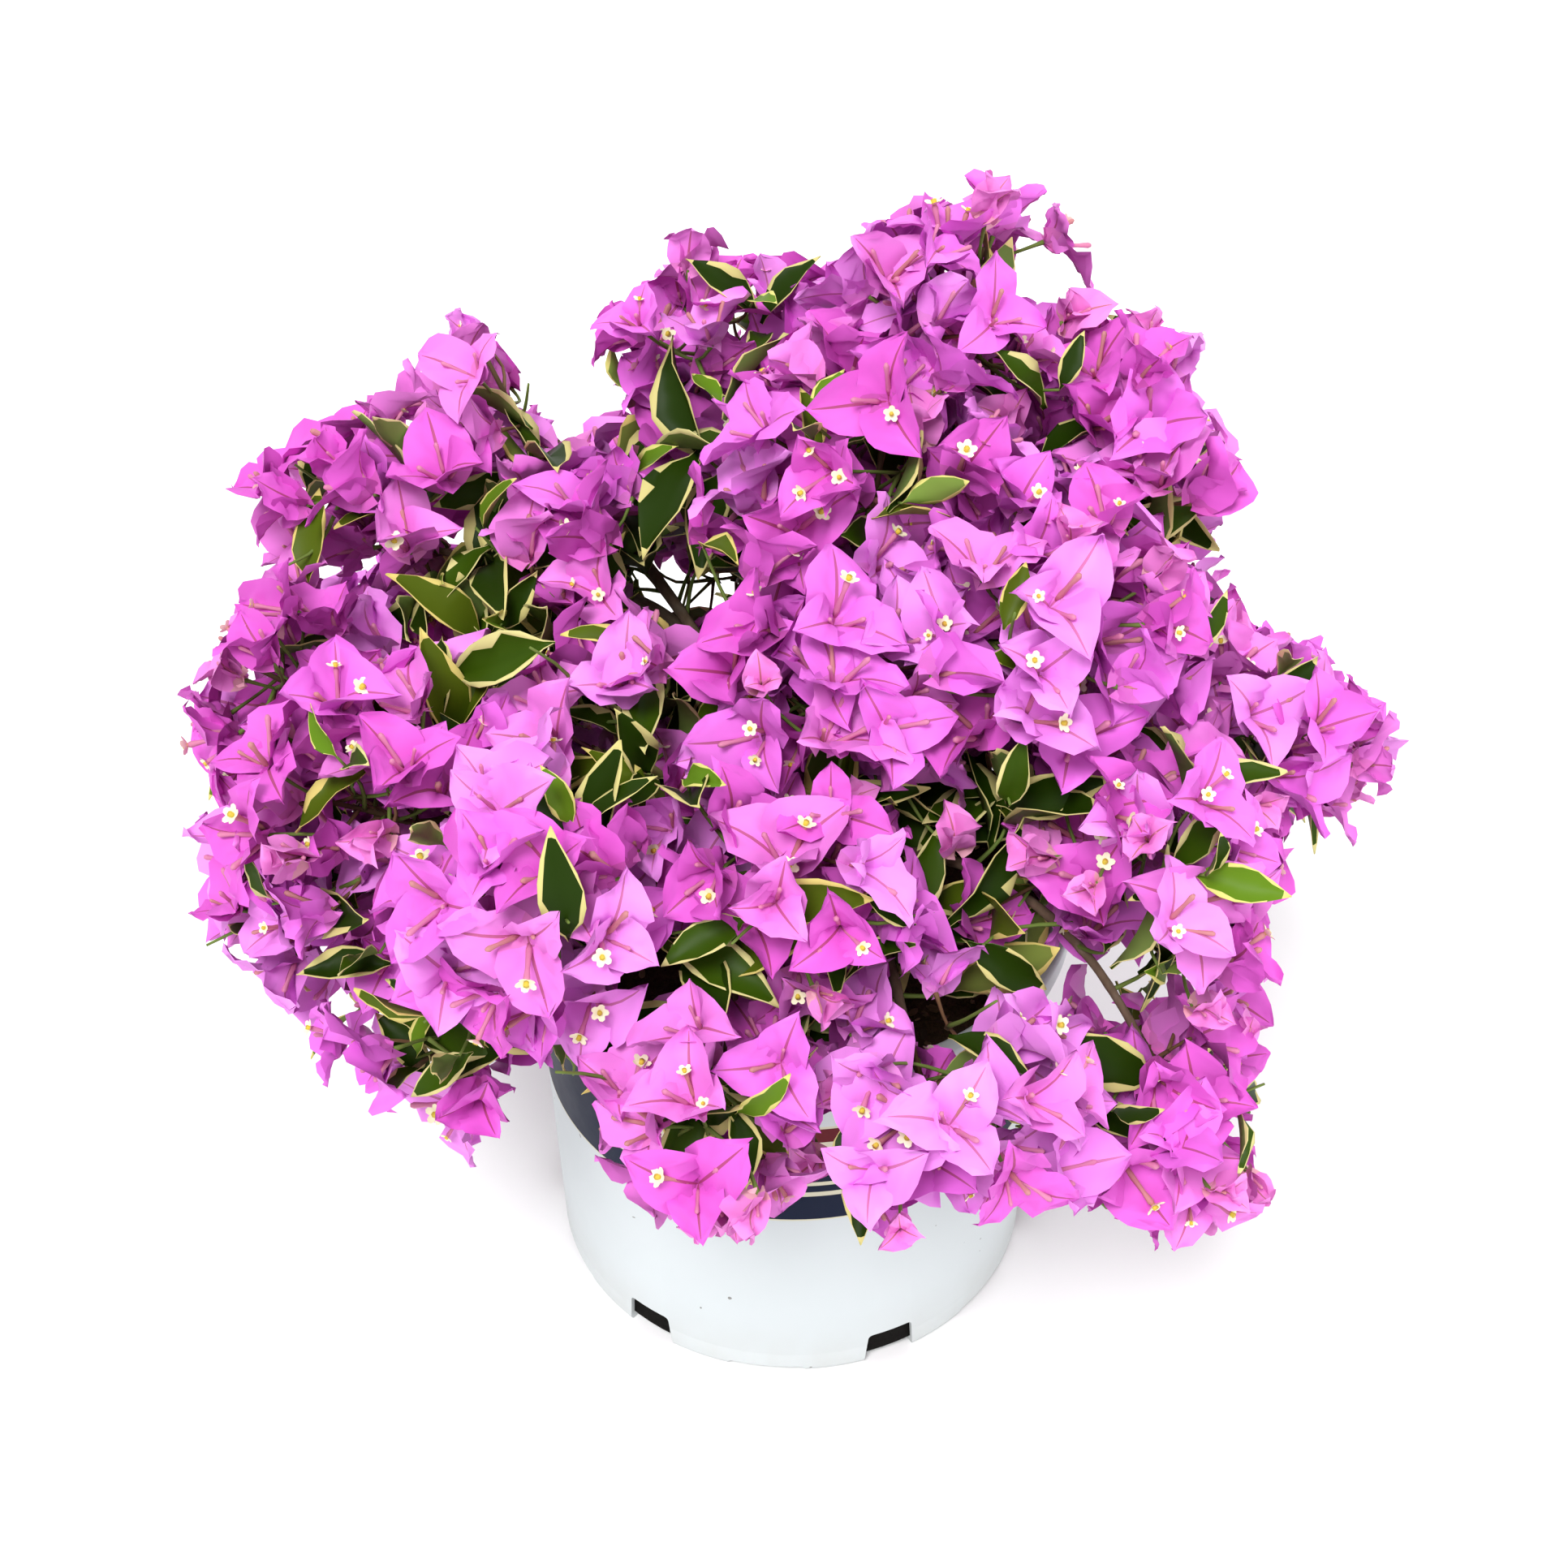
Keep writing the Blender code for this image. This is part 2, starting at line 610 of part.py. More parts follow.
def samples_over(corners):
    """Points over a blade, given by its base, sides and tip, with no room for a limb to slip between them."""
    base, left, right, tip = corners
    found = []
    for i in range(SAMPLE_STEPS + 1):
        for j in range(SAMPLE_STEPS + 1):
            s = i / SAMPLE_STEPS
            t = j / SAMPLE_STEPS
            found.append(base * (1 - s) * (1 - t) + left * s * (1 - t) + right * t * (1 - s) + tip * s * t)
    return found


def frame_at(place, forward, upper):
    """The matrix with its origin at place, its X along forward and its Z as near to upper as that allows."""
    x = forward.normalized()
    y = upper.cross(x).normalized()
    z = x.cross(y)
    turn = Matrix((x, y, z)).transposed().to_4x4()
    return Matrix.Translation(place) @ turn


def side_of(axis, angle):
    """A unit vector square to axis, turned round it."""
    return Matrix.Rotation(angle, 3, axis) @ axis.orthogonal().normalized()


def cell_of(branch):
    """The planes that part a mass from the others, as normals and offsets. Larger masses take more room."""
    centre = centre_of(branch)
    normals, offsets = [], []
    for other in BRANCHES:
        if other.name != branch.name:
            run = centre_of(other) - centre
            share = 0.5 + (branch.spread**2 - other.spread**2) / (2 * run.length_squared)
            normal = run.normalized()
            normals.append(normal)
            offsets.append(normal.dot(centre) + share * run.length)
    return np.array(normals), np.array(offsets)


class Mass:
    """One mass as it grows: its space, the limbs it keeps clear of, and the pieces accepted so far."""

    def __init__(self, branch, index, boughs, stems):
        self.branch = branch
        self.draw = random.Random(index + 11)
        self.centre = centre_of(branch)
        self.outward = outward_of(branch)
        self.normals, self.offsets = cell_of(branch)
        self.stem = stems[branch.name]
        others = [s for name, s in stems.items() if name != branch.name]
        self.other_limbs = segments_of(list(boughs.values()) + others)
        self.all_limbs = segments_of(list(boughs.values()) + list(stems.values()))
        self.blooms = []
        self.leaves = []
        self.twigs = []
        self.receptacles = []
        self.taken = np.full((1, 3), 10.0)  # points over the blades so far, for the gap to the next

    def inside(self, points, cell_gap):
        """True if every point is within the mass's reach and its cell, and clear of the pot."""
        array = np.array(points)
        run = array - np.array(self.centre)
        out = run @ np.array(self.outward)
        run -= np.outer(out * (1 - 1 / self.branch.stretch), np.array(self.outward))
        in_reach = (np.linalg.norm(run, axis=1) < self.branch.spread).all()
        in_cell = (array @ self.normals.T < self.offsets - cell_gap).all()
        return in_reach and in_cell and clears_pot(points, POT_CLEARANCE)

    def from_blades(self, points):
        """The least distance from the points to the blades so far."""
        return np.linalg.norm(np.array(points)[:, None] - self.taken[None], axis=2).min()

    def blade_fits(self, corners, twig=None):
        """True if a blade is clear of the other blades, the limbs and every twig but its own."""
        if not self.inside(corners, CELL_GAP):
            return False
        samples = samples_over(corners)
        others = [t for t in self.twigs if t is not twig]
        if gaps_to(samples, self.all_limbs).min() < BLADE_CLEARANCE:
            return False
        if others and gaps_to(samples, segments_of(others)).min() < BLADE_CLEARANCE:
            return False
        return self.from_blades(samples) > BLADE_SPACING

    def twig_fits(self, twig):
        fine = [along(twig.points, i / TWIG_SAMPLES)[0] for i in range(TWIG_SAMPLES + 1)]
        clear = min(gaps_to(fine, self.other_limbs).min(), self.from_blades(fine))
        return self.inside(fine, TWIG_CELL_GAP) and clear > TWIG_CLEARANCE

    def take(self, corners):
        self.taken = np.vstack((self.taken, np.array(samples_over(corners))))

    def twig_to(self, place, arrival):
        """A twig to place, arriving along arrival, from a part of the stem that is nearer the bough."""
        reach = (place - self.stem.points[0]).length
        whole = (self.stem.points[-1] - self.stem.points[0]).length
        least, most, share = TWIG_FORK
        start, _ = along(self.stem.points, min(most, max(least, share * reach / whole)))
        back, middle_share = TWIG_BEND
        middle = start.lerp(place - arrival * (place - start).length * back, middle_share)
        return Limb([start, middle, place], tapered(TWIG_RADII, 3))

    def fitted_bracts(self, matrix, spreads):
        """The corners of a cup's bracts, each as large as fits, or None."""
        found = []
        for k, spread in enumerate(spreads):
            sizes = (bract_corners(matrix, k, spread, scale) for scale in BRACT_SCALES)
            fitting = next((c for c in sizes if self.blade_fits(c)), None)
            if fitting is None:
                return None
            found.append(fitting)
        return found

    def add_bloom(self, direction):
        """A twig with a cup of bracts at its end, as near the mass's surface as it fits."""
        tilt = Vector((self.draw.uniform(-1, 1), self.draw.uniform(-1, 1), self.draw.uniform(-1, 1)))
        own, common, upward, chance = BLOOM_FACING
        axis = direction * own + self.outward * common + Vector((0, 0, upward)) + tilt * chance
        axis.normalize()
        side = side_of(axis, self.draw.uniform(0, 2 * math.pi))
        spreads = [
            math.radians(BRACT_SPREAD + self.draw.uniform(-SPREAD_CHANGE, SPREAD_CHANGE))
            for _ in range(BRACTS_PER_BLOOM)
        ]
        stretched = direction + self.outward * direction.dot(self.outward) * (self.branch.stretch - 1)
        for depth in BLOOM_DEPTHS:
            place = self.centre + stretched * self.branch.spread - direction * BRACT_LENGTH * depth
            if any((place - other).length < BLOOM_SPACING for other in self.receptacles):
                continue
            matrix = frame_at(place, side, axis)
            bracts = self.fitted_bracts(matrix, spreads)
            if bracts is None:
                continue
            twig = self.twig_to(place, axis)
            if self.twig_fits(twig):
                self.twigs.append(twig)
                self.blooms.append(bloom_mesh(twig, matrix, bracts))
                self.receptacles.append(place)
                for corners in bracts:
                    self.take(corners)
                return

    def add_leaf(self):
        """A leaf that leaves a twig part of the way along, if it fits."""
        twig = self.draw.choice(self.twigs)
        place, onward = along(twig.points, self.draw.uniform(*LEAF_PLACES))
        radial = side_of(onward, self.draw.uniform(0, 2 * math.pi))
        spread = math.radians(self.draw.uniform(*LEAF_SPREADS))
        forward = onward * math.cos(spread) + radial * math.sin(spread)
        upper = onward * math.sin(spread) - radial * math.cos(spread) + Vector((0, 0, LEAF_UPWARD))
        matrix = frame_at(place - forward * TWIG_RADII[1] * 0.5, forward, upper)
        corners = leaf_corners(matrix)
        if self.blade_fits(corners, twig):
            self.leaves.append(matrix)
            self.take(corners)

    def grow(self):
        """Blooms are tried in directions spread evenly over a sphere, those that face out first."""
        start = self.draw.uniform(0, 360)
        tries = []
        for i in range(BLOOM_TRIES):
            z = 1 - (2 * i + 1) / BLOOM_TRIES
            turn = math.radians(start + GOLDEN_ANGLE * i)
            ring = math.sqrt(1 - z * z)
            tries.append(Vector((ring * math.cos(turn), ring * math.sin(turn), z)))
        tries.sort(key=lambda d: -(d.dot(self.outward) + 0.4 * d.z + self.draw.uniform(-0.5, 0.5)))
        for direction in tries:
            if len(self.receptacles) < BLOOMS_PER_MASS:
                self.add_bloom(direction)
        for _ in range(LEAF_TRIES):
            if self.twigs and len(self.leaves) < LEAVES_PER_MASS:
                self.add_leaf()


def keep_largest_shell(mesh):
    """Keeps a mesh's largest closed shell: a sealed hollow is filled and a loose scrap dropped."""
    work = bmesh.new()
    work.from_mesh(mesh)
    bmesh.ops.triangulate(work, faces=work.faces)
    left = set(work.faces)
    shells = []
    while left:
        shell = [left.pop()]
        for face in shell:  # the list grows as it is walked
            for edge in face.edges:
                beyond = [f for f in edge.link_faces if f in left]
                if len(edge.link_faces) == 2 and beyond:
                    left.remove(beyond[0])
                    shell.append(beyond[0])
        shells.append(shell)
    scraps = set(work.faces) - set(max(shells, key=len))
    bmesh.ops.delete(work, geom=list(scraps), context="FACES")
    work.to_mesh(mesh)
    work.free()


def make_mass(mass, collection, material, leaf):
    """The solid of a mass: one Boolean union of its stem, twigs, bracts and leaves."""
    name = f"mass_{mass.branch.name}"
    pieces = new_collection(f"{name}_pieces")
    stem = add_object(name, tube_mesh(name, mass.stem), collection, material)
    for i, bloom in enumerate(mass.blooms):
        add_object(f"{name}_bloom_{i}", bloom, pieces)
    for i, matrix in enumerate(mass.leaves):
        add_object(f"{name}_leaf_{i}", leaf, pieces).matrix_world = matrix
    union = stem.modifiers.new("fuse", "BOOLEAN")
    union.operation = "UNION"
    union.solver = "MANIFOLD"
    union.operand_type = "COLLECTION"
    union.collection = pieces
    bpy.context.view_layer.update()
    graph = bpy.context.evaluated_depsgraph_get()
    fused = bpy.data.meshes.new_from_object(stem.evaluated_get(graph))
    stem.modifiers.clear()
    stem.data = fused
    fused.materials.clear()
    fused.materials.append(material)
    keep_largest_shell(fused)
    for piece in list(pieces.objects):
        bpy.data.objects.remove(piece)
    bpy.data.collections.remove(pieces)


def build():
    clear_scene()
    plant = new_collection("potted bougainvillea")
    cutters = new_collection("cutters")
    pot_white = new_material("pot white", (0.80, 0.84, 0.85), 0.45)
    soil_brown = new_material("soil brown", (0.045, 0.028, 0.018), 0.95)
    bark = new_material("bark", (0.16, 0.09, 0.05), 0.85)
    bract_pink = new_material("bract pink", (0.66, 0.13, 0.72), 0.60)

    make_pot(plant, cutters, pot_white)
    make_soil(plant, soil_brown)

    boughs, stems = plan_limbs()
    make_limb("trunk", boughs["trunk"], plant, bark)
    for branch in BRANCHES:
        parent = boughs[branch.parent]
        make_limb(f"bough_{branch.name}", boughs[branch.name], plant, bark, parent, cutters)

    leaf = leaf_mesh()
    for index, branch in enumerate(BRANCHES):
        mass = Mass(branch, index, boughs, stems)
        mass.grow()
        make_mass(mass, plant, bract_pink, leaf)


build()
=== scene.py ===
"""The looks of a variegated bougainvillea in full flower, growing in a round white nursery pot.

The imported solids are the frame: metres, Z up, the pot's foot on Z = 0, and -Y the plant's front.
"""

import itertools
import json
import random
from collections import namedtuple
from math import atan2, copysign, cos, exp, hypot, pi, radians, sin, sqrt

import bmesh
import bpy
import numpy as np
from mathutils import Matrix, Vector, noise
from mathutils.bvhtree import BVHTree

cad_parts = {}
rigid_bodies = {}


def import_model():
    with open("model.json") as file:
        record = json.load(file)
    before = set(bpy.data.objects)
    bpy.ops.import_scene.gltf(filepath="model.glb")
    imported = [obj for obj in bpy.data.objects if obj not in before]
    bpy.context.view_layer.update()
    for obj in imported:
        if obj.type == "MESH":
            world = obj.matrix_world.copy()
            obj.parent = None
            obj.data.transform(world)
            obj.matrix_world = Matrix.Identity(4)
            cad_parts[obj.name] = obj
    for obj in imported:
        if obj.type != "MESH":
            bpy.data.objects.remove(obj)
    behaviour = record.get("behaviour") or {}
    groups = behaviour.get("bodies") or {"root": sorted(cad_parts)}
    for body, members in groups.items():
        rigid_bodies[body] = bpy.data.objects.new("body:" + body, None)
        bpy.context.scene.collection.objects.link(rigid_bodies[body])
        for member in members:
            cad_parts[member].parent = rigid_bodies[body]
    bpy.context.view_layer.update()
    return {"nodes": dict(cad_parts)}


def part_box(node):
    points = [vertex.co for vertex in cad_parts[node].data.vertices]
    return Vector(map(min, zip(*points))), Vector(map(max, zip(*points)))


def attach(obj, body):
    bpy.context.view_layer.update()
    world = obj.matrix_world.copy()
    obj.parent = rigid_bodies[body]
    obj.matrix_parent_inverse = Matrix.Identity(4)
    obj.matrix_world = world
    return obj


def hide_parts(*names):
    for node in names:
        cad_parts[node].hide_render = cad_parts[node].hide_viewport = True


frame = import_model()


# ---- The pot
# A thin-walled nursery pot, injection moulded in white plastic with a soft sheen. Its wall tapers to a
# rounded foot with six drain notches and six reliefs, its rim turns out and down in a deep lip, and a
# striped band is printed round it.

POT_LOW, POT_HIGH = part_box("pot")
POT_HEIGHT = POT_HIGH.z
RIM_RADIUS = (POT_HIGH.x - POT_LOW.x) / 2
WALL_TOP_RADIUS = 0.1275
WALL_FOOT_RADIUS = 0.1215
WALL_THICKNESS = 0.0024
WALL_MIDDLE = 0.10
POT_FLOOR = 0.0045
RIM_EDGE = 0.0022
LIP_DEPTH = 0.014
LIP_DRAFT = 0.0005
LIP_EDGE = 0.0012
LIP_WALL = 0.0030
LIP_HOLLOW = (0.0040, 0.0042)
LIP_FILLET = (0.0010, 0.0020)
LIP_SHADOW = 0.01
FOOT_ROUNDING = 0.0035
SEAM_HEIGHT = 0.0135
SEAM_DEPTH = 0.00010
SEAM_EDGE = 0.0006
POT_STEPS = 132
NOTCH_COUNT = 6
FIRST_NOTCH_ANGLE = -66.3
# Across the foot: the width, taper, height and depth of a notch, and of the relief between two
NOTCH = (0.027, 0.0018, 0.021, 0.0085)
RELIEF = (0.040, 0.0015, 0.004, 0.0050)
NOTCH_ROUNDING = 0.0022
MOST_ROUNDING = 0.4  # of a notch's height
SHARP_ANGLE = 32.0


class Value:
    """A socket of a finish's nodes, with arithmetic that adds Math nodes."""

    def __init__(self, finish, socket):
        self.finish, self.socket = finish, socket

    def maths(self, operation, other):
        return self.finish.node("ShaderNodeMath", {"operation": operation}, {0: self, 1: other})

    def __add__(self, other):
        return self.maths("ADD", other)

    def __mul__(self, other):
        return self.maths("MULTIPLY", other)

    def __rsub__(self, other):
        return self * -1.0 + other

    __radd__ = __add__
    __rmul__ = __mul__


class Finish:
    """A material and the nodes behind its Principled shader."""

    def __init__(self, name, colour, roughness, specular=0.3):
        self.material = bpy.data.materials.new(name)
        self.material.use_nodes = True
        self.material.diffuse_color = (*colour, 1.0)
        self.tree = self.material.node_tree
        self.sockets = self.tree.nodes["Principled BSDF"].inputs
        self.sockets["Base Color"].default_value = (*colour, 1.0)
        self.sockets["Roughness"].default_value = roughness
        self.sockets["Specular IOR Level"].default_value = specular

    def node(self, kind, settings=None, inputs=None, output=0):
        made = self.tree.nodes.new(kind)
        for key, value in (settings or {}).items():
            setattr(made, key, value)
        for key, value in (inputs or {}).items():
            self.feed(made.inputs[key], value)
        return Value(self, made.outputs[output])

    def feed(self, socket, value):
        if isinstance(value, Value):
            self.tree.links.new(value.socket, socket)
        else:
            socket.default_value = value

    def place(self):
        return self.node("ShaderNodeTexCoord", output="Object")

    def axis(self, name):
        return self.node("ShaderNodeSeparateXYZ", inputs={"Vector": self.place()}, output=name)

    def noise(self, scale, detail=2.0, stretch=(1, 1, 1)):
        at = self.node("ShaderNodeMapping", inputs={"Vector": self.place(), "Scale": stretch})
        return self.node("ShaderNodeTexNoise", inputs={"Vector": at, "Scale": scale, "Detail": detail})

    def ease(self, value, low, high):
        """0 below low and 1 above high, with a smooth rise between them."""
        limits = {"Value": value, "From Min": low, "From Max": high}
        return self.node("ShaderNodeMapRange", {"interpolation_type": "SMOOTHSTEP"}, limits)

    def mix(self, share, first, second):
        first, second = (c if isinstance(c, Value) else (*c, 1.0) for c in (first, second))
        return self.node("ShaderNodeMix", {"data_type": "RGBA"}, {0: share, 6: first, 7: second}, 2)

    def colour(self, value):
        self.feed(self.sockets["Base Color"], value)

    def roughness(self, value):
        self.feed(self.sockets["Roughness"], value)

    def relief(self, height, distance, strength=1.0):
        inputs = {"Height": height, "Distance": distance, "Strength": strength}
        self.feed(self.sockets["Normal"], self.node("ShaderNodeBump", inputs=inputs))


def put(name, data):
    """An object of some data, in the scene."""
    made = bpy.data.objects.new(name, data)
    bpy.context.scene.collection.objects.link(made)
    return made


def show(name, mesh, finishes, slot, *nodes):
    """Puts a finished mesh in the scene, riding on the part, in place of the CAD nodes named."""
    piece = put(name, mesh)
    for finish in finishes:
        mesh.materials.append(finish.material)
    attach(piece, "root")
    if nodes:
        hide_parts(*nodes)
    return piece


def mesh_of(work, name):
    mesh = bpy.data.meshes.new(name)
    work.to_mesh(mesh)
    work.free()
    return mesh


def turned(profile, steps):
    """A bmesh of a profile of (radius, height) spun round Z."""
    work = bmesh.new()
    verts = [work.verts.new((radius, 0, height)) for radius, height in profile]
    edges = [work.edges.new(pair) for pair in zip(verts, verts[1:])]
    axis = {"cent": (0, 0, 0), "axis": (0, 0, 1)}
    bmesh.ops.spin(work, geom=verts + edges, angle=2 * pi, steps=steps, use_merge=True, **axis)
    bmesh.ops.remove_doubles(work, verts=work.verts, dist=1e-6)
    bmesh.ops.recalc_face_normals(work, faces=work.faces)
    return work


def wall_radius(height):
    return WALL_FOOT_RADIUS + (WALL_TOP_RADIUS - WALL_FOOT_RADIUS) * height / POT_HEIGHT


def rounded(centre, radius, first, last, steps=5):
    """Points of an arc of (radius, height), from one angle to another in degrees."""
    angles = [radians(first + (last - first) * i / steps) for i in range(steps + 1)]
    return [(centre[0] + radius * cos(a), centre[1] + radius * sin(a)) for a in angles]


lip_low = POT_HEIGHT - LIP_DEPTH
inner_top = WALL_TOP_RADIUS - WALL_THICKNESS
foot_radius = wall_radius(FOOT_ROUNDING) - FOOT_ROUNDING
WALL_LEVELS = (lip_low - LIP_SHADOW, WALL_MIDDLE, SEAM_HEIGHT + SEAM_EDGE)
POT_PROFILE = [
    (0.0, POT_FLOOR),
    (wall_radius(POT_FLOOR) - WALL_THICKNESS, POT_FLOOR),
    (inner_top, POT_HEIGHT - RIM_EDGE),
    *rounded((inner_top + RIM_EDGE, POT_HEIGHT - RIM_EDGE), RIM_EDGE, 160, 90, 3),
    *rounded((RIM_RADIUS - RIM_EDGE, POT_HEIGHT - RIM_EDGE), RIM_EDGE, 90, 0),
    (RIM_RADIUS - LIP_DRAFT, lip_low + RIM_EDGE),
    *rounded((RIM_RADIUS - LIP_DRAFT - LIP_EDGE, lip_low + LIP_EDGE), LIP_EDGE, 0, -180, 4),
    (RIM_RADIUS - LIP_WALL, lip_low + LIP_HOLLOW[0]),
    (wall_radius(lip_low) + LIP_FILLET[0], lip_low + LIP_HOLLOW[1]),
    (wall_radius(lip_low), lip_low + LIP_FILLET[1]),
    *((wall_radius(level), level) for level in WALL_LEVELS),
    (wall_radius(SEAM_HEIGHT) - SEAM_DEPTH, SEAM_HEIGHT),
    (wall_radius(SEAM_HEIGHT - SEAM_EDGE), SEAM_HEIGHT - SEAM_EDGE),
    *rounded((foot_radius, FOOT_ROUNDING), FOOT_ROUNDING, 0, -90),
    (0.0, 0.0),
]


def notch_cutter(angle, width, taper, height, depth):
    """A block with a narrower, rounded top, across the pot's foot at an angle."""
    work = bmesh.new()
    bmesh.ops.create_cube(work, size=1.0)
    for vert in work.verts:
        side = width / 2 - (taper if vert.co.z > 0 else -taper)
        out = WALL_FOOT_RADIUS - depth if vert.co.x < 0 else RIM_RADIUS
        vert.co = (out, copysign(side, vert.co.y), height if vert.co.z > 0 else -height)
    tops = [edge for edge in work.edges if min(v.co.z for v in edge.verts) > 0]
    tops = [edge for edge in tops if edge.verts[0].co.y == edge.verts[1].co.y]
    offset = min(NOTCH_ROUNDING, height * MOST_ROUNDING)
    bmesh.ops.bevel(work, geom=tops, affect="EDGES", offset=offset, segments=3, profile=0.5, material=-1)
    bmesh.ops.rotate(work, verts=work.verts, matrix=Matrix.Rotation(radians(angle), 3, "Z"))
    return put("notch", mesh_of(work, "notch"))


def cut(mesh, cutters):
    """The mesh less the cutters, which are then removed."""
    holder = put("cut", mesh)
    for cutter in cutters:
        step = holder.modifiers.new("cut", "BOOLEAN")
        step.operation = "DIFFERENCE"
        step.solver = "EXACT"
        step.object = cutter
    bpy.context.view_layer.update()
    graph = bpy.context.evaluated_depsgraph_get()
    result = bpy.data.meshes.new_from_object(holder.evaluated_get(graph))
    for done in (holder, *cutters):
        bpy.data.objects.remove(done)
    return result


pitch = 360.0 / NOTCH_COUNT
notches = []
for i in range(NOTCH_COUNT):
    at = FIRST_NOTCH_ANGLE + pitch * i
    notches += [notch_cutter(at, *NOTCH), notch_cutter(at + pitch / 2, *RELIEF)]
pot_mesh = cut(mesh_of(turned(POT_PROFILE, POT_STEPS), "pot_shell"), notches)
pot_mesh.shade_smooth()
pot_mesh.set_sharp_from_angle(angle=radians(SHARP_ANGLE))

WHITE = (0.60, 0.645, 0.655)
CLOUDED = (0.50, 0.55, 0.565)
DUST = (0.42, 0.38, 0.32)
DUST_HEIGHT = 0.05
SPECK = (0.10, 0.08, 0.06)
NAVY = (0.004, 0.009, 0.030)
CREAM = (0.62, 0.60, 0.45)
WINE = (0.115, 0.010, 0.016)
BAND_FOOT = 0.1185
# The printed band's stripes, upwards from its foot: their widths and colours
STRIPES = [
    (0.0010, CREAM), (0.0165, NAVY), (0.0030, CREAM), (0.0045, NAVY), (0.0025, CREAM), (0.0045, NAVY),
    (0.0180, CREAM), (0.0012, NAVY), (0.0040, CREAM), (0.0090, WINE), (0.0015, CREAM),
]
STRIPE_EDGE = 0.00012
BAND_PLAIN = 0.084  # out to each side of the middle
PLAIN_EDGE = 0.0006
PLAIN_RISE = 0.0002

pot_white = Finish("pot_white_plastic", WHITE, 0.42, 0.08)
pot_z = pot_white.axis("Z")
pot_colour = pot_white.mix(pot_white.noise(22, 3) * 0.16, WHITE, CLOUDED)
dust = pot_white.noise(60, 4, (1, 1, 0.5)) * (1 - pot_white.ease(pot_z, 0.0, DUST_HEIGHT))
pot_colour = pot_white.mix(dust * 0.35, pot_colour, DUST)
specks = pot_white.ease(pot_white.noise(210, 0), 0.862, 0.872)
pot_colour = pot_white.mix(specks * 0.7, pot_colour, SPECK)
height = BAND_FOOT
for width, colour in STRIPES:
    above = pot_white.ease(pot_z, height - STRIPE_EDGE, height + STRIPE_EDGE)
    pot_colour = pot_white.mix(above, pot_colour, colour)
    height += width
# The band's ends, away from the middle of its front, are plain navy above its first stripe
across = pot_white.axis("X")
ends = pot_white.ease(across * across, BAND_PLAIN**2, (BAND_PLAIN + PLAIN_EDGE) ** 2)
navy_foot = BAND_FOOT + STRIPES[0][0]
banded = pot_white.ease(pot_z, navy_foot, navy_foot + PLAIN_RISE)
pot_colour = pot_white.mix(ends * banded, pot_colour, NAVY)
above = pot_white.ease(pot_z, height - STRIPE_EDGE, height + STRIPE_EDGE)
pot_white.colour(pot_white.mix(above, pot_colour, WHITE))
pot_white.roughness(pot_white.noise(90, 3) * 0.14 + 0.36)
pot_white.relief(pot_white.noise(240, 3), 0.0001, 0.25)
show("pot_shell", pot_mesh, [pot_white], "pot", "pot")


# ---- The potting soil
# Moist dark potting mix fills the pot to a finger's width below the rim: a rough, slightly domed surface of
# crumbs, scattered with small chips of bark. Behind the drain notches in the foot its colour is painted
# shade, near black.

SOIL_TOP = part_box("soil")[1].z
SOIL_FOOT = 0.0047
SOIL_FLAT_RADIUS = 0.030
SOIL_EDGE_DROP = 0.004
SOIL_CLEARANCE = 0.0005
SOIL_STEPS = 96
SOIL_RINGS = 26
CRUMB_RELIEF = 0.0022
CRUMB_SINK = 0.8
CRUMBS_PER_METRE = 90
CHIP_COUNT = 520
CHIP_LENGTHS = (0.0022, 0.0065)
CHIP_WIDTHS = (0.4, 0.8)  # of its length
CHIP_HEIGHTS = (0.2, 0.45)
CHIP_LIFT = 0.0004
CHIP_MARGIN = 0.004
CHIP_LEAN = (-0.4, 0.4)
CHIP_PLAY = (0.75, 1.2)

Form = namedtuple("Form", "points loops totals slots")


def form_of(work):
    """A bmesh as arrays that can be copied many times: its points, faces and each face's material."""
    work.verts.index_update()
    made = Form(
        np.array([vert.co[:] for vert in work.verts]),
        np.array([vert.index for face in work.faces for vert in face.verts]),
        np.array([len(face.verts) for face in work.faces]),
        np.array([face.material_index for face in work.faces]),
    )
    work.free()
    return made


def joined(name, copies, smooth=True):
    """One mesh of many copies: each a form, its 4 by 4 matrix and the number of its first material."""
    points, loops, totals, slots = [], [], [], []
    count = 0
    for form, matrix, first in copies:
        turn = np.array(matrix)
        points.append(form.points @ turn[:3, :3].T + turn[:3, 3])
        loops.append(form.loops + count)
        totals.append(form.totals)
        slots.append(form.slots + first)
        count += len(form.points)
    totals = np.concatenate(totals)
    starts = np.concatenate(([0], np.cumsum(totals)[:-1]))
    mesh = bpy.data.meshes.new(name)
    mesh.vertices.add(count)
    mesh.vertices.foreach_set("co", np.concatenate(points).astype(np.float32).ravel())
    mesh.loops.add(int(totals.sum()))
    mesh.loops.foreach_set("vertex_index", np.concatenate(loops).astype(np.int32))
    mesh.polygons.add(len(totals))
    mesh.polygons.foreach_set("loop_start", starts.astype(np.int32))
    mesh.polygons.foreach_set("material_index", np.concatenate(slots).astype(np.int32))
    mesh.update(calc_edges=True)
    if smooth:
        mesh.shade_smooth()
    else:
        mesh.shade_flat()
    mesh.validate()
    return mesh


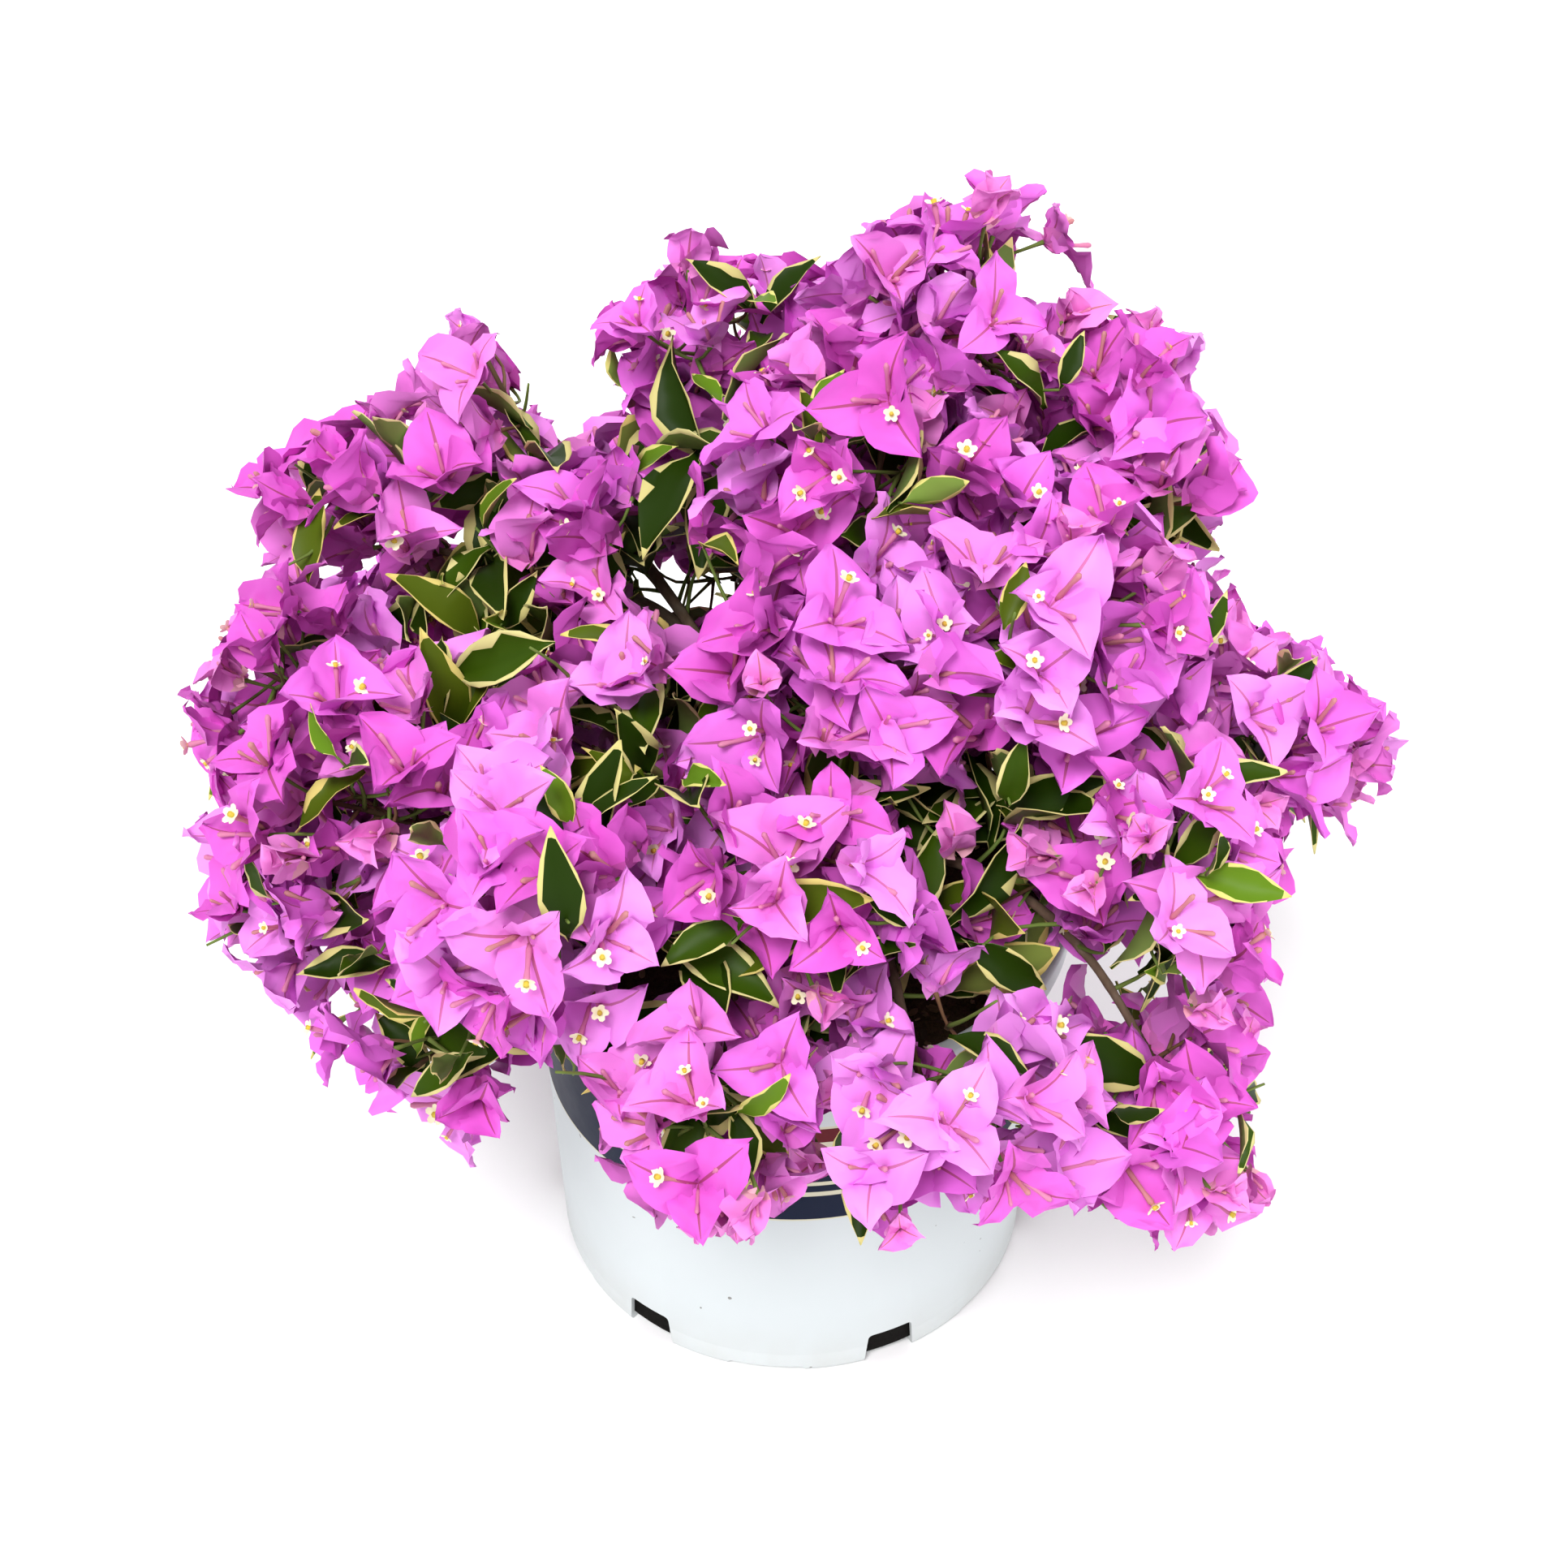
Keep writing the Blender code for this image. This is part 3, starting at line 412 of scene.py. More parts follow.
def soil_height(x, y):
    """The soil's surface, domed towards the trunk and lumpy."""
    edge = wall_radius(POT_HEIGHT) - WALL_THICKNESS
    out = (hypot(x, y) - SOIL_FLAT_RADIUS) / (edge - SOIL_FLAT_RADIUS)
    lumps = noise.fractal(Vector((x, y, 0)) * CRUMBS_PER_METRE, 0.9, 2.1, 4)
    return SOIL_TOP - max(0.0, out) * SOIL_EDGE_DROP - CRUMB_RELIEF * CRUMB_SINK + lumps * CRUMB_RELIEF


soil_edge, soil_foot = (wall_radius(z) - WALL_THICKNESS - SOIL_CLEARANCE for z in (SOIL_TOP, SOIL_FOOT))
soil_rings = [(soil_edge * i / SOIL_RINGS, SOIL_TOP - SOIL_EDGE_DROP) for i in range(SOIL_RINGS + 1)]
soil_work = turned([*soil_rings, (soil_foot, SOIL_FOOT), (0.0, SOIL_FOOT)], SOIL_STEPS)
for vert in soil_work.verts:
    if vert.co.z > SOIL_TOP - SOIL_EDGE_DROP - 1e-5:
        vert.co.z = soil_height(vert.co.x, vert.co.y)
soil_mesh = mesh_of(soil_work, "soil_surface")
soil_mesh.shade_smooth()

soil_brown = Finish("potting_soil", (0.030, 0.019, 0.012), 0.93, 0.1)
crumbs = soil_brown.noise(260, 5)
grains = soil_brown.noise(900, 3)
soil_colour = soil_brown.mix(crumbs * grains * 2.2, (0.010, 0.007, 0.005), (0.085, 0.050, 0.028))
# Painted shade: below 0.02 to 0.04 m the soil's colour fades to near black, so it reads dark behind the
# drain notches
above_painted_shade = soil_brown.ease(soil_brown.axis("Z"), 0.02, 0.04)
soil_brown.colour(soil_brown.mix(above_painted_shade, (0.004, 0.003, 0.002), soil_colour))
soil_brown.relief(crumbs + grains * 0.5, 0.0012)
show("soil_surface", soil_mesh, [soil_brown], "soil", "soil")

draw = random.Random(5)
chip_work = bmesh.new()
bmesh.ops.create_icosphere(chip_work, subdivisions=1, radius=0.5)
for vert in chip_work.verts:
    vert.co *= draw.uniform(*CHIP_PLAY)
chip = form_of(chip_work)
chips = []
for _ in range(CHIP_COUNT):
    out = (soil_edge - CHIP_MARGIN) * sqrt(draw.uniform(0.01, 1))
    turn = draw.uniform(0, 2 * pi)
    x, y = out * cos(turn), out * sin(turn)
    long = draw.uniform(*CHIP_LENGTHS)
    size = Matrix.Diagonal((long, long * draw.uniform(*CHIP_WIDTHS), long * draw.uniform(*CHIP_HEIGHTS), 1))
    lean = Matrix.Rotation(draw.uniform(*CHIP_LEAN), 4, "X")
    lean = lean @ Matrix.Rotation(draw.uniform(0, 6.3), 4, "Z")
    lift = Matrix.Translation((x, y, soil_height(x, y) + CHIP_LIFT))
    chips.append((chip, lift @ lean @ size, draw.choice((0, 0, 1, 2))))
chip_finishes = [
    Finish("bark_chip_dark", (0.045, 0.026, 0.016), 0.9),
    Finish("bark_chip_brown", (0.12, 0.065, 0.035), 0.85),
    Finish("bark_chip_pale", (0.26, 0.17, 0.10), 0.8),
]
show("soil_chips", joined("soil_chips", chips, smooth=False), chip_finishes, "soil")


# ---- The trunk and the boughs
# A short woody trunk with a flared foot, and thin boughs that arch up and out over the rim. The bark is a
# grey-brown, finely furrowed along the limb, and each bough springs from a swollen collar on its parent.

# One branch for each mass of bloom: its centre and spread (the radius of its space) in millimetres, the limb
# that its bough leaves and the share of that limb's length, and how far its space is drawn out
Branch = namedtuple("Branch", "name x y z spread parent fork stretch", defaults=[1.0])
BRANCHES = [Branch(name, *(size / 1000 for size in sizes), *limb) for name, sizes, *limb in (
    ("upper_middle", (35, 20, 435, 66), "trunk", 0.98),
    ("crown_top", (78, 95, 486, 60), "upper_middle", 0.45),
    ("back_crown", (-43, 130, 440, 64), "upper_middle", 0.35),
    ("right_middle", (103, -45, 402, 67), "trunk", 0.90),
    ("right_shoulder", (160, 50, 430, 66), "right_middle", 0.45),
    ("right", (150, -110, 325, 65), "trunk", 0.70),
    ("far_right", (215, -25, 322, 61), "right", 0.40, 1.1),
    ("right_hanging", (170, -140, 208, 64), "front_right", 0.50),
    ("front_right", (60, -185, 262, 63), "trunk", 0.60),
    ("front_middle", (-35, -200, 262, 63), "centre_front", 0.50),
    ("centre_front", (0, -130, 325, 60), "trunk", 0.65),
    ("centre", (18, -55, 375, 63), "trunk", 0.92),
    ("centre_left", (-75, -50, 335, 60), "trunk", 0.75),
    ("front_left", (-105, -145, 340, 62), "trunk", 0.55),
    ("left_front", (-180, -80, 335, 63), "trunk", 0.80),
    ("left_low", (-230, -60, 262, 60), "left_front", 0.60),
    ("left_hanging", (-155, -125, 230, 64), "front_left", 0.50),
    ("left_middle", (-228, 10, 335, 61), "inner_left", 0.55),
    ("inner_left", (-118, 45, 360, 64), "trunk", 0.90),
    ("left_back", (-190, 80, 388, 60), "inner_left", 0.40, 1.1),
    ("left_tall", (-135, 130, 415, 58), "back_left", 0.40),
    ("back_left", (-110, 190, 330, 68), "trunk", 0.75),
    ("back_middle", (20, 200, 360, 68), "trunk", 0.90),
    ("back_right", (140, 155, 365, 68), "trunk", 0.80),
    ("back_far_right", (225, 80, 280, 68), "trunk", 0.60),
    ("back_low_left", (-185, 140, 240, 72), "back_left", 0.50),
    ("back_low", (-30, 235, 230, 76), "back_middle", 0.50),
    ("back_low_right", (130, 200, 230, 74), "back_right", 0.50),
)]

TRUNK_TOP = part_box("trunk")[1].z
TRUNK_LEAN = (-0.004, 0.006)
TRUNK_CROOK = 0.002
CROOK_TURN = 2.1
TRUNK_RADII = (0.0105, 0.0085)
ROOT_FLARE = 1.6
ROOT_FLARE_HEIGHT = 0.0075
BOUGH_RADII = (0.0036, 0.0021)
SIDE_BOUGH_RADII = (0.0028, 0.0018)
LIMB_POINTS = 6
HANDLES = ((0.33, 0.10), (0.72, 0.14))
RIM_LIFT = 0.035
LOW_END = 0.05
FORK_RANGE = (0.25, 0.98)
FORK_STEP = 0.05
FORK_TRIES = (0, -1, 1, -2, 2, -3, 3, -4, 4, -5, 5)
BOW_STEP = 0.012
BOW_TRIES = (0, 1, -1, 2, -2, 3, -3, 4, -4)
CROWN_HEART = Vector((0.0, 0.02, 0.22))
ENTRY_DEPTH = 0.62
HANGING_HEIGHT = 0.275
HANGING_RANGE = 0.045
HANGING_TURN = 0.55
TRUNK_RINGS = 30
TRUNK_SIDES = 20
BOUGH_SIDES = 12
LEAST_RINGS = 12
RINGS_PER_METRE = 420
FURROW_DEPTH = 0.112  # of a limb's radius
FURROW_TURNS = 2.2
FURROWS_PER_METRE = 45
SCAR_HEIGHT = 0.10
SCAR_STEP = 0.021
COLLAR = 1.45
COLLAR_LENGTH = 2.5  # in radii

Limb = namedtuple("Limb", "points radii")


def bezier(a, b, c, d, count):
    found = []
    for i in range(count):
        t = i / (count - 1)
        u = 1 - t
        found.append(a * u**3 + b * (3 * u * u * t) + c * (3 * u * t * t) + d * t**3)
    return found


def spread_over(values, count):
    """Count values, spread evenly between the ones given."""
    return [float(v) for v in np.interp(np.linspace(0, len(values) - 1, count), range(len(values)), values)]


def steps_of(points):
    return [(b - a).length for a, b in zip(points, points[1:])]


def along(points, share):
    """(point, direction) at a share of a polyline's length."""
    steps = steps_of(points)
    left = share * sum(steps)
    for a, b, step in zip(points, points[1:], steps):
        if left <= step:
            return a.lerp(b, left / step), (b - a).normalized()
        left -= step
    return points[-1], (points[-1] - points[-2]).normalized()


def centre_of(branch):
    return Vector((branch.x, branch.y, branch.z))


def outward_of(branch):
    return (centre_of(branch) - CROWN_HEART).normalized()


def entry_of(branch):
    """Where the bough meets its mass: behind the centre, and from above where the mass hangs."""
    hangs = min(1.0, max(0.0, (HANGING_HEIGHT - branch.z) / HANGING_RANGE))
    back = -outward_of(branch).lerp(Vector((0, 0, -1)), HANGING_TURN * hangs)
    return centre_of(branch) + back.normalized() * branch.spread * ENTRY_DEPTH


def bough_curve(branch, parent, fork, bow):
    """Points of a bough's line: up and out from its parent, bowed aside, over the rim and on to its mass."""
    start, _ = along(parent.points, fork)
    end = entry_of(branch)
    run = end - start
    outward = Vector((run.x, run.y, 0)).normalized()
    side = Vector((-outward.y, outward.x, 0))
    lift = RIM_LIFT if end.z < POT_HEIGHT + LOW_END else 0.0
    handles = []
    for share, rise in HANDLES:
        up = rise * run.length + lift
        handles.append(start + run * share + Vector((0, 0, up)) + side * bow)
    return bezier(start, *handles, end, LIMB_POINTS)


def miss_of(points, radii, corners):
    """How far a line's inner points lie from being the middles of a solid's rings of corners."""
    missed = 0.0
    for point, radius in list(zip(points, radii))[2:-1]:
        apart = np.linalg.norm(corners - np.array(point), axis=1)
        missed += abs(apart.min() - radius)
    return missed


trunk_foot = Vector((0, 0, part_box("trunk")[0].z))
trunk_tip = Vector((*TRUNK_LEAN, TRUNK_TOP))
trunk_points = [trunk_foot.lerp(trunk_tip, i / (LIMB_POINTS - 1)) for i in range(LIMB_POINTS)]
for i in range(2, LIMB_POINTS - 1):
    trunk_points[i].x += TRUNK_CROOK * sin(i * CROOK_TURN)
trunk_points[1] = trunk_foot + Vector((0, 0, ROOT_FLARE_HEIGHT))
trunk_radii = spread_over(TRUNK_RADII, LIMB_POINTS)
trunk_radii[0] *= ROOT_FLARE

# Each bough follows its own solid: of the bows and forks that the rule tries, the one that lies in it best
limbs = {"trunk": Limb(trunk_points, trunk_radii)}
waiting = list(BRANCHES)
while waiting:
    branch = next(b for b in waiting if b.parent in limbs)
    waiting.remove(branch)
    parent = limbs[branch.parent]
    corners = np.array([vert.co[:] for vert in frame["nodes"][f"bough_{branch.name}"].data.vertices])
    radii = spread_over(BOUGH_RADII if branch.parent == "trunk" else SIDE_BOUGH_RADII, LIMB_POINTS)
    tries = []
    for bow, shift in itertools.product(BOW_TRIES, FORK_TRIES):
        fork = min(FORK_RANGE[1], max(FORK_RANGE[0], branch.fork + FORK_STEP * shift))
        points = bough_curve(branch, parent, fork, BOW_STEP * bow)
        tries.append((miss_of(points, radii, corners), fork, BOW_STEP * bow))
    _, fork, bow = min(tries)
    limbs[branch.name] = Limb(bough_curve(branch, parent, fork, bow), radii)


def ring_frames(points):
    """For each point of a line, two unit vectors square to it that don't twist along it."""
    runs = [(b - a).normalized() for a, b in zip(points, points[1:])]
    ways = [runs[0]] + [(a + b).normalized() for a, b in zip(runs, runs[1:])] + [runs[-1]]
    side = ways[0].orthogonal().normalized()
    found = []
    for way in ways:
        side = (side - way * side.dot(way)).normalized()
        found.append((side, way.cross(side)))
    return found


def tube(points, radii, sides, swell=lambda ring, side: 0.0):
    """A closed tube as a form. Swell gives each ring's and side's share to add to the radius."""
    work = bmesh.new()
    rings = []
    for i, (point, radius, (side, other)) in enumerate(zip(points, radii, ring_frames(points))):
        ring = []
        for k in range(sides):
            turn = 2 * pi * k / sides
            out = radius * (1 + swell(i, k))
            ring.append(work.verts.new(point + (side * cos(turn) + other * sin(turn)) * out))
        rings.append(ring)
    for low, high in zip(rings, rings[1:]):
        for k in range(sides):
            after = (k + 1) % sides
            work.faces.new((low[k], low[after], high[after], high[k]))
    work.faces.new(rings[0][::-1])
    work.faces.new(rings[-1])
    return form_of(work)


def barked(points, radii, sides, seed):
    """A woody limb: its furrows run along it, and low swellings mark where leaves once stood."""
    lengths = np.concatenate(([0], np.cumsum(steps_of(points))))

    def swell(i, k):
        turn = 2 * pi * k / sides
        around = (cos(turn) * FURROW_TURNS, sin(turn) * FURROW_TURNS)
        at = Vector((*around, lengths[i] * FURROWS_PER_METRE + seed * 7.3))
        scar = SCAR_HEIGHT * max(0.0, cos(lengths[i] * 2 * pi / SCAR_STEP + seed)) ** 8
        return noise.noise(at) * FURROW_DEPTH + scar

    return tube(points, radii, sides, swell)


def smooth_line(points, count):
    """A smoother line of count points through the ones given."""
    found = []
    for i in range(count):
        t = i / (count - 1) * (len(points) - 1)
        k = min(int(t), len(points) - 2)
        u = t - k
        p0, p1 = points[max(k - 1, 0)], points[k]
        p2, p3 = points[k + 1], points[min(k + 2, len(points) - 1)]
        bend = (p2 - p0) * u + (p0 * 2 - p1 * 5 + p2 * 4 - p3) * u**2 + (p1 * 3 - p0 - p2 * 3 + p3) * u**3
        found.append(p1 + bend * 0.5)
    return found


bark = Finish("bark", (0.15, 0.095, 0.06), 0.86, 0.15)
furrows = bark.noise(190, 5, (1, 1, 0.35))
lichen = bark.ease(bark.noise(60, 3), 0.52, 0.75)
bark_colour = bark.mix(furrows, (0.055, 0.033, 0.020), (0.27, 0.185, 0.125))
bark.colour(bark.mix(lichen * 0.35, bark_colour, (0.27, 0.25, 0.19)))
bark.relief(furrows, 0.0009)

IN_PLACE = Matrix.Identity(4)
trunk_line = smooth_line(trunk_points, TRUNK_RINGS)
trunk_form = barked(trunk_line, spread_over(trunk_radii, TRUNK_RINGS), TRUNK_SIDES, 0)
show("trunk_bark", joined("trunk_bark", [(trunk_form, IN_PLACE, 0)]), [bark], "bark", "trunk")

bough_copies = []
for seed, branch in enumerate(BRANCHES, 1):
    limb = limbs[branch.name]
    length = sum(steps_of(limb.points))
    count = max(LEAST_RINGS, int(length * RINGS_PER_METRE))
    radii = spread_over(limb.radii, count)
    for i in range(count):
        out = length * i / (count - 1) / (radii[0] * COLLAR_LENGTH)
        radii[i] *= 1 + (COLLAR - 1) * exp(-out)
    bough_copies.append((barked(smooth_line(limb.points, count), radii, BOUGH_SIDES, seed), IN_PLACE, 0))
bough_nodes = [f"bough_{branch.name}" for branch in BRANCHES]
show("bough_bark", joined("bough_bark", bough_copies), [bark], "bark", *bough_nodes)


# ---- How the masses grow
# Each mass is a spray on one stem that carries on from its bough's tip. Twigs branch from the stem, each to
# a bloom of three papery bracts or to a sprig of leaves. All of it keeps to the mass's room in the crown.

STEM_RADII = (0.0018, 0.0011)
STEM_KNEE = 0.12  # these three are shares of a mass's spread
STEM_HANDLE = 0.2
STEM_REACH = 0.35
STEM_POINTS = 4
BRACT_LENGTH = 0.037
BRACT_WIDTH = 0.031
BRACT_SCALES = (1.0, 0.88, 0.76)
BRACT_CHECKS = ((0.2, 0.42), (0.45, 0.45), (0.7, 0.3))  # along it and out from its middle
BRACT_OPENINGS = (36.0, 68.0)
OPENING_PLAY = (-10, 12)
YOUNG_OPENING = 27.0
YOUNG_AGE = 0.08
FULL_SIZES = (0.78, 1.03)
YOUNG_SIZES = (0.48, 0.72)
BLOOM_TRIES = 150
BLOOM_SPACING = 0.0235
BLOOM_DEPTHS = (0.42, 0.55, 0.70, 0.85, 1.0)
BLOOM_FACING = (0.5, 0.6, 0.3, 0.75)
TOP_FIRST = 0.4
ORDER_PLAY = (-0.5, 0.5)
TWIG_FORK = (0.25, 0.9, 0.55)
TWIG_BEND = (0.25, 0.6)
TWIG_INNER = 0.75
SPACE_SLACK = 0.010
POT_CLEARANCE = 0.003
LIMB_ROOM = 0.002
FILL_TRIES = 190
FILL_REACH = 1.35  # of a mass's spread, between the masses and further in
FILL_MARGIN = 0.040  # out from the hull of the masses' centres
LEAF_LENGTH = 0.056
LEAF_WIDTH = 0.0215
LEAF_TIP = Vector((LEAF_LENGTH, 0, 0))
LEAF_CHECKS = ((0.3, -0.4), (0.3, 0.4), (0.65, -0.4), (0.65, 0.4))
LEAF_DEPTHS = (0.35, 0.6, 0.85)
SPRIG_SPACING = 0.024
SPRIG_REACH = 0.045
SPRIG_LEAVES = (4, 7)
SPRIG_STEP = 0.0045
SPRIG_STRETCH = 1.6
SPRIG_SPREADS = (38.0, 82.0)
SPRIG_PLAY = (-9, 9)
SPRIG_SIZES = (1.08, 0.55)  # of the lowest leaf, and what the highest is smaller by
SIZE_PLAY = (0.85, 1.12)
AGE_PLAY = (0.5, 1.0)
SPRIG_SHARE = 0.09
# Masses in the crown's more open places carry more sprigs of leaves
LEAFY_SHARES = {
    "inner_left": 0.48, "centre_left": 0.34, "left_hanging": 0.22, "right_hanging": 0.18,
    "left_front": 0.16, "back_crown": 0.18, "left_back": 0.20, "left_middle": 0.16,
}
SHOOT_STEP = 0.026
SHOOT_REACH = (0.018, 0.045)
SHOOT_FOOT = 0.22
SHOOT_BEND = 0.12
SHOOT_ONWARD = 0.5
SHOOT_RISE = (0.1, 0.8)
SHOOT_PLAY = (-30, 30)
SHOOT_LEAVES = (3, 5)
SHOOT_SPREADS = (42, 75)
SHOOT_SIZES = (0.75, 1.15)
SHOOT_BARE = 0.35
SHOOT_TURN = 50
LEAF_UP = Vector((0, 0, 0.7))
GOLDEN_ANGLE = 137.508
# The crown as it is seen from a point before it, by the X and Z where a line of sight crosses the trunk's
# plane, in millimetres: its outline, the gaps that show what is behind it, and the hollows between its
# masses that only leaves fill. Each gap and hollow has a radius too, which is foreshortened upwards
FRONT = Vector((-0.0042, -0.879, 1.004))
FORESHORTENING = 0.77
OUTLINE = np.array([
    (67, 586), (85, 582), (103, 570), (111, 550), (123, 534), (163, 517), (167, 495), (158, 490),
    (179, 473), (195, 445), (181, 416), (200, 371), (234, 360), (274, 319), (275, 248), (250, 248),
    (236, 257), (229, 249), (240, 209), (231, 172), (253, 133), (236, 117), (248, 99), (240, 70), (252, 43),
    (260, -8), (251, -24), (229, -31), (222, -54), (187, -47), (156, -12), (128, -15), (104, -32), (67, 6),
    (71, -16), (64, -47), (45, -70), (30, -49), (21, -14), (8, -3), (-4, -10), (-7, -46), (-58, -45),
    (-87, 9), (-106, 19), (-103, 67), (-124, 90), (-134, 89), (-148, 65), (-145, 33), (-167, 9), (-190, 55),
    (-211, 62), (-217, 87), (-238, 72), (-262, 116), (-254, 143), (-265, 173), (-283, 175), (-294, 194),
    (-286, 253), (-265, 275), (-284, 293), (-286, 302), (-277, 325), (-230, 399), (-244, 418), (-246, 436),
    (-226, 453), (-201, 463), (-179, 487), (-159, 481), (-159, 498), (-136, 530), (-106, 511), (-107, 487),
    (-97, 473), (-61, 470), (-71, 482), (-83, 499), (-80, 528), (-56, 538), (-52, 559), (-38, 564),
    (-11, 545), (-2, 544), (18, 564), (34, 564), (57, 577),
]) / 1000
OUTLINE_HEART = np.array((-0.01, 0.26))
OUTLINE_EASE = 0.985
GAPS = np.array([
    (98, 540, 10), (-56, 390, 10.5), (-33, 394, 9.5), (167, 165, 11.5), (134, 164, 11.5), (76, 115, 11.5),
    (-195, 411, 8.2),
]) / 1000
HOLLOWS = np.array([
    (-135, 425, 15), (-122, 360, 18), (-64, 384, 13), (-47, 321, 17), (-81, 278, 18), (-107, 253, 12),
    (-51, 170, 23), (-29, 145, 20), (-174, 119, 17), (-113, 96, 19), (101, 255, 16), (67, 206, 13),
    (98, 142, 16), (185, 151, 15), (44, 439, 11), (26, 378, 9), (-149, 389, 9),
]) / 1000
HOLLOW_DEPTH = 0.10
HOLLOW_SPRIG_REACH = 0.036
HOLLOW_CHECK = 0.4

Bloom = namedtuple("Bloom", "place axis side spreads scales age")
Leaf = namedtuple("Leaf", "matrix age")
Sprig = namedtuple("Sprig", "twig leaves")

wood_starts = np.array([point for limb in limbs.values() for point in limb.points[:-1]])
wood_runs = np.array([point for limb in limbs.values() for point in limb.points[1:]]) - wood_starts
wood_radii = np.array([pair for limb in limbs.values() for pair in zip(limb.radii, limb.radii[1:])])


def clear_of_wood(points):
    """Whether points keep their distance from the trunk and every bough."""
    run = np.array(points)[:, None] - wood_starts[None]
    share = np.clip((run * wood_runs).sum(2) / (wood_runs * wood_runs).sum(1), 0, 1)
    first, last = wood_radii.T
    apart = np.linalg.norm(run - wood_runs * share[..., None], axis=2)
    return (apart - (first + (last - first) * share)).min() > LIMB_ROOM


def frame_at(place, forward, upper):
    """The matrix with its origin at place, its X along forward and its Z as near to upper as that allows."""
    x = forward.normalized()
    y = upper.cross(x).normalized()
    return Matrix.Translation(place) @ Matrix((x, y, x.cross(y))).transposed().to_4x4()


def side_of(axis, angle):
    return Matrix.Rotation(angle, 3, axis) @ axis.orthogonal().normalized()


def spread_from(axis, radial, angle):
    """The direction that leans out from an axis by an angle, and its upper side."""
    out, up = sin(angle), cos(angle)
    return axis * up + radial * out, axis * out - radial * up


def stem_of(branch):
    """A mass's stem: on from the bough's tip through the centre, towards the mass's outer side."""
    bough = limbs[branch.name].points
    arrival = (bough[-1] - bough[-2]).normalized()
    knee = bough[-1] + arrival * branch.spread * STEM_KNEE
    handle = knee + arrival * branch.spread * STEM_HANDLE
    tip = centre_of(branch) + outward_of(branch) * branch.spread * branch.stretch * STEM_REACH
    points = [bough[-1]] + bezier(knee, handle, centre_of(branch), tip, STEM_POINTS)
    return Limb(points, spread_over(STEM_RADII, len(points)))


def cell_of(branch):
    """The planes that part a mass from the others. Larger masses take more room."""
    centre = centre_of(branch)
    normals, offsets = [], []
    for other in BRANCHES:
        if other.name != branch.name:
            run = centre_of(other) - centre
            share = 0.5 + (branch.spread**2 - other.spread**2) / (2 * run.length_squared)
            normals.append(run.normalized())
            offsets.append(normals[-1].dot(centre) + share * run.length)
    return np.array(normals), np.array(offsets)


def hull_of(points):
    """The planes of the hull round some points, as outward normals and offsets."""
    work = bmesh.new()
    for point in points:
        work.verts.new(point)
    bmesh.ops.convex_hull(work, input=work.verts)
    work.normal_update()
    normals = np.array([face.normal[:] for face in work.faces])
    offsets = np.array([face.normal.dot(face.verts[0].co) for face in work.faces])
    work.free()
    turned_in = normals @ np.mean([p[:] for p in points], axis=0) > offsets
    normals[turned_in] *= -1
    offsets[turned_in] *= -1
    return normals, offsets


CROWN_NORMALS, CROWN_OFFSETS = hull_of([centre_of(branch) for branch in BRANCHES])


def in_crown(array):
    return (array @ CROWN_NORMALS.T < CROWN_OFFSETS + FILL_MARGIN).all(axis=1)


def clear_of_pot(points):
    low, out = POT_HEIGHT + POT_CLEARANCE, RIM_RADIUS + POT_CLEARANCE
    return all(p[2] > low or hypot(p[0], p[1]) > out for p in points)


def seen_at(points):
    """The X and Z where lines of sight from before the crown to some points cross the trunk's plane."""
    run = np.array(points) - np.array(FRONT)
    return (np.array(FRONT) + run * (-FRONT.y / run[:, 1:2]))[:, ::2]


def in_circles(points, circles):
    run = (seen_at(points)[:, None] - circles[:, :2]) * (1, FORESHORTENING)
    return (np.linalg.norm(run, axis=2) < circles[:, 2]).any()


def in_outline(points):
    """Whether points, seen from before the crown, are all inside its outline and off the gaps in it."""
    if in_circles(points, GAPS):
        return False
    eased = OUTLINE_HEART + (seen_at(points) - OUTLINE_HEART) * OUTLINE_EASE
    x, z = eased[:, :1], eased[:, 1:]
    (x0, z0), (x1, z1) = OUTLINE.T, np.roll(OUTLINE, -1, axis=0).T
    rise = np.where(z1 == z0, 1.0, z1 - z0)
    crossed = ((z0 > z) != (z1 > z)) & (x < x0 + (z - z0) * (x1 - x0) / rise)
    return (crossed.sum(axis=1) % 2 == 1).all()


def in_hollow(place):
    return place[1] < HOLLOW_DEPTH and in_circles([place], HOLLOWS)


def in_inner_crown(points):
    return in_crown(np.array(points)).all() and clear_of_pot(points) and in_outline(points)


def leaf_fits(matrix):
    """Whether a leaf is clear of the wood, and inside the crown's outline on both of its sides."""
    sides = [Vector((LEAF_LENGTH * share, LEAF_WIDTH * wide, 0)) for share, wide in LEAF_CHECKS]
    points = [matrix @ point for point in (LEAF_TIP, LEAF_TIP * 0.5, *sides)]
    return in_outline(points) and clear_of_wood(points[:2])


def bract_ways(bloom_axis, side, spreads):
    """Each bract's direction and upper side, spread round a bloom's axis."""
    turns = [Matrix.Rotation(2 * pi * k / len(spreads), 3, bloom_axis) for k in range(len(spreads))]
    return [spread_from(bloom_axis, turn @ side, spread) for turn, spread in zip(turns, spreads)]


bloom_places, sprig_places = [], []


def room_for(place, from_blooms, from_sprigs):
    """Whether a place is clear of the wood and far enough from every bloom and sprig so far."""
    if not clear_of_wood([place]):
        return False
    for places, least in ((bloom_places, from_blooms), (sprig_places, from_sprigs)):
        if places and np.linalg.norm(np.array(places) - np.array(place), axis=1).min() < least:
            return False
    return True


